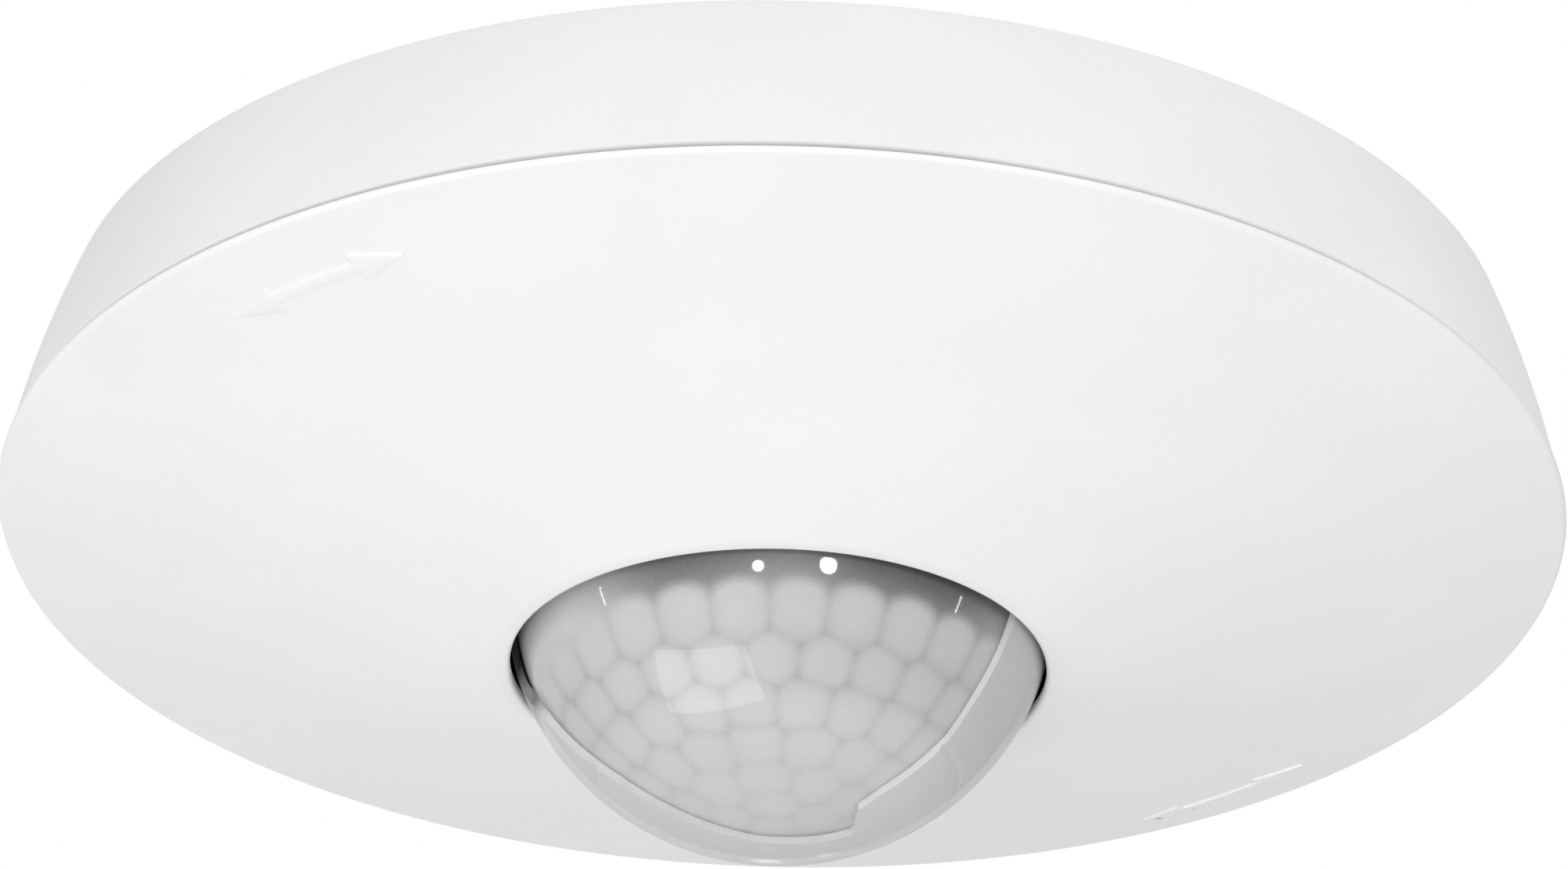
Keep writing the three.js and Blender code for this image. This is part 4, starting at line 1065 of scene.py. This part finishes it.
def lens_retainer():
    """The black ring that holds the lens down, with three ears for its screws."""
    inner = MASK_RING_RADIUS + PLAY
    flange = LENS_FLANGE_RADIUS + PLAY
    step, seat = LENS_FLANGE_BOTTOM - PLAY, HOUSING_FACE - 0.1
    lip_top, bottom = MASK_RING_BOTTOM - PLAY, MASK_RING_BOTTOM - 0.9
    profile = rounded([
        (inner, step), (inner, lip_top), (RETAINER_LIP, lip_top, 0.1), (RETAINER_LIP, bottom, 0.2),
        (RETAINER_OUTER, bottom, 0.5), (RETAINER_OUTER, seat, 0.1), (flange, seat), (flange, step),
    ])
    ring = turned("retainer_ring", supported(profile), 256)
    places = [at(RETAINER_SCREW_RADIUS, azimuth) for azimuth in RETAINER_AZIMUTHS]
    ears = []
    for place in places:
        ear = post("ear", RETAINER_EAR, seat, seat - RETAINER_EAR_DEPTH, place)
        ears.append(cut(ear, post("inside", RETAINER_OUTER - 1, 0, bottom, (0, 0), 256)))
    join(ring, *ears)
    cut(ring, *[post("hole", RETAINER_HOLE, 0, bottom - PAST, place, 32) for place in places])
    return finish_piece(ring, BLACK, "casing", ["lens_retainer"])


def sensor_surround():
    """The dark tube round the infrared sensor and the pale ring between it and the lens."""
    tube_low, tube_high = node_box("sensor_cup")
    bezel_low, bezel_high = node_box("sensor_bezel")
    radius, floor_z = tube_high[0], bezel_low[2]
    tube = turned("sensor_tube", supported(rounded([
        (5, tube_high[2]), (radius, tube_high[2]), (radius, tube_low[2], 0.2),
        (radius - 0.9, tube_low[2], 0.2), (radius - 0.9, floor_z, 0.4), (7, floor_z, 0.3),
        (5, floor_z + 0.6, 0.1),
    ])), 128)
    cut(tube, *[post("eye", 1.9, -10, -20, at(8.4, azimuth), 40) for azimuth in (90, 270)])
    finish_piece(tube, BLACK, "casing", ["sensor_cup"])
    inner = radius + 0.3
    bezel = turned("sensor_bezel_ring", supported(rounded([
        (inner, bezel_high[2]), (bezel_high[0], bezel_high[2]), (bezel_high[0], floor_z + 0.4, 0.2),
        (bezel_high[0] - 1, floor_z, 0.3), (inner, floor_z, 0.2),
    ])), 128)
    finish_piece(bezel, INNER, "casing", ["sensor_bezel"])


lens_retainer()
sensor_surround()


# ---- CAD pieces that keep their shape ----
NODE_FINISHES = {
    "power_board": BOARD, "control_board": BOARD, "terminal_block": TERMINAL, "relay": RELAY,
    "film_capacitor": FILM, "smoothing_capacitor": CAN, "varistor": VARISTOR, "fuse": GLASS,
    "choke": BLACK, "board_header": BLACK, "pir_sensor": STEEL, "pir_window": FILTER,
    "light_sensor": DIODE, "status_led": RED_DIODE, "time_pot": INNER, "lux_pot": INNER,
    "dip_block": DIP_CASE, "test_switch": BLACK, "lens_gasket": RUBBER,
}


def finish_cad_node(node, piece):
    """The node's material and softened edges: screws are steel, the switch sliders are pale."""
    spare = STEEL if "screw" in node else CONTROL
    piece.data.materials.clear()
    piece.data.materials.append(NODE_FINISHES.get(node, spare))
    weld = piece.modifiers.new("weld", "WELD")
    weld.merge_threshold = 0.002 * MM
    soften(piece, 0.08)


for node_name, node_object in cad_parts.items():
    if not node_object.hide_render:
        finish_cad_node(node_name, node_object)


# ---- Studio ----
FLOOR_Z = -2.6  # metres, as are the places and sizes in the studio
FLOOR_HALF = 25
TENT_LEVEL = 0.731
TENT_FRONT = 0.147  # how much brighter the tent is straight towards -Y
LAMP_DISTANCE = 0.9
# The spots and strips are small, and show as glints on the lens: name, direction from the lens,
# radiance, size, shape and the direction of the size's first side.
GLINTS = (
    ("left_spot", (-0.165, -0.943, -0.288), 60, (0.072, 0.072), "DISK", (1, 0, 0)),
    ("right_spot", (0.343, -0.905, -0.252), 45, (0.115, 0.115), "DISK", (1, 0, 0)),
    ("left_strip", (-0.991, -0.096, -0.095), 18, (0.012, 0.15), "RECTANGLE", (0, 1, 0)),
    ("right_strip", (0.991, -0.088, -0.105), 22, (0.012, 0.1), "RECTANGLE", (0, 1, 0)),
    ("back_glint", (-0.01, 0.998, 0.05), 6, (0.04, 0.02), "DISK", (1, 0, 0)),
    ("right_back_glint", (0.092, 0.995, -0.033), 4, (0.03, 0.02), "DISK", (1, 0, 0)),
)
SOFTBOX_DIRECTION = (-0.474, -0.281, -0.834)
SOFTBOX_ACROSS = (0.8, -0.54, -0.27)
SOFTBOX_SIZE = (0.75, 0.47)
CAMERA_PLACE = (0, -0.8006, -0.4258)
CAMERA_PITCH = 0.4823  # radians above the horizon
CAMERA_ROLL = 0.0248
CAMERA_LENS = 279.0  # millimetres, on a 36 mm sensor


def floor():
    mesh = bpy.data.meshes.new("floor")
    corners = [(-FLOOR_HALF, -FLOOR_HALF, FLOOR_Z), (FLOOR_HALF, -FLOOR_HALF, FLOOR_Z),
               (FLOOR_HALF, FLOOR_HALF, FLOOR_Z), (-FLOOR_HALF, FLOOR_HALF, FLOOR_Z)]
    mesh.from_pydata(corners, [], [(0, 1, 2, 3)])
    ground = new_object("floor", mesh)
    finish = Finish("pale_floor")
    tint = finish.mix(finish.spread(finish.noise(300, 2), *NOISE_MIDDLE, 0, 1), (0.8,) * 3, (0.83,) * 3)
    mesh.materials.append(finish.use(finish.surface(tint, 0.8)))


def studio_world():
    """An even white backdrop for the camera. As light it is a white tent, a little brighter on
    the camera's side."""
    world = bpy.data.worlds.new("studio")
    world.use_nodes = True
    bpy.context.scene.world = world
    tree = world.node_tree
    tree.nodes.clear()

    def calculate(operation, *values):
        inputs = dict(enumerate(values))
        return add_node(tree, "Math", inputs, operation=operation).outputs[0]

    direction = add_node(tree, "TexCoord", {}).outputs["Generated"]
    axes = add_node(tree, "SeparateXYZ", {0: direction}).outputs
    front = calculate("MAXIMUM", calculate("MULTIPLY", axes["Y"], -1.0), 0.0)
    light = calculate("MULTIPLY_ADD", front, TENT_FRONT, TENT_LEVEL)
    seen = add_node(tree, "LightPath", {}).outputs["Is Camera Ray"]
    strength = add_node(tree, "Mix", {0: seen, 2: light, 3: 1.0}).outputs[0]
    inputs = {"Strength": strength, "Color": (1, 1, 1, 1)}
    backdrop = add_node(tree, "Background", inputs).outputs[0]
    add_node(tree, "OutputWorld", {"Surface": backdrop})


def lamp(name, direction, distance, radiance, size, shape, across):
    """An area light facing the lens from a direction, with its radiance stated."""
    light = bpy.data.lights.new(name, "AREA")
    light.shape = shape
    light.size = size[0]
    light.size_y = size[1]
    area = size[0] * size[1] * (math.pi / 4 if shape == "DISK" else 1)
    light.energy = radiance * area * math.pi
    target = Vector((0, 0, LENS_CENTRE * MM))
    away = Vector(direction).normalized()
    side = (Vector(across) - away * Vector(across).dot(away)).normalized()
    up = away.cross(side)
    turn = Matrix((side, up, away)).transposed().to_4x4()
    new_object(name, light).matrix_world = Matrix.Translation(target + away * distance) @ turn


def studio_lights():
    lamp("softbox", SOFTBOX_DIRECTION, 1.0, 2.83, SOFTBOX_SIZE, "RECTANGLE", SOFTBOX_ACROSS)
    for name, direction, radiance, size, shape, across in GLINTS:
        lamp(name, direction, LAMP_DISTANCE, radiance, size, shape, across)


def camera():
    forward = Vector((0, math.cos(CAMERA_PITCH), math.sin(CAMERA_PITCH)))
    right = Vector((1, 0, 0))
    up = right.cross(forward)
    x_axis = right * math.cos(CAMERA_ROLL) + up * math.sin(CAMERA_ROLL)
    y_axis = up * math.cos(CAMERA_ROLL) - right * math.sin(CAMERA_ROLL)
    lens = bpy.data.cameras.new("camera")
    lens.lens = CAMERA_LENS
    lens.sensor_width = 36
    lens.clip_start = 0.01
    placed = new_object("camera", lens)
    turn = Matrix((x_axis, y_axis, -forward)).transposed().to_4x4()
    placed.matrix_world = Matrix.Translation(CAMERA_PLACE) @ turn
    bpy.context.scene.camera = placed


floor()
studio_world()
studio_lights()
camera()
bpy.context.scene.view_settings.view_transform = "Standard"
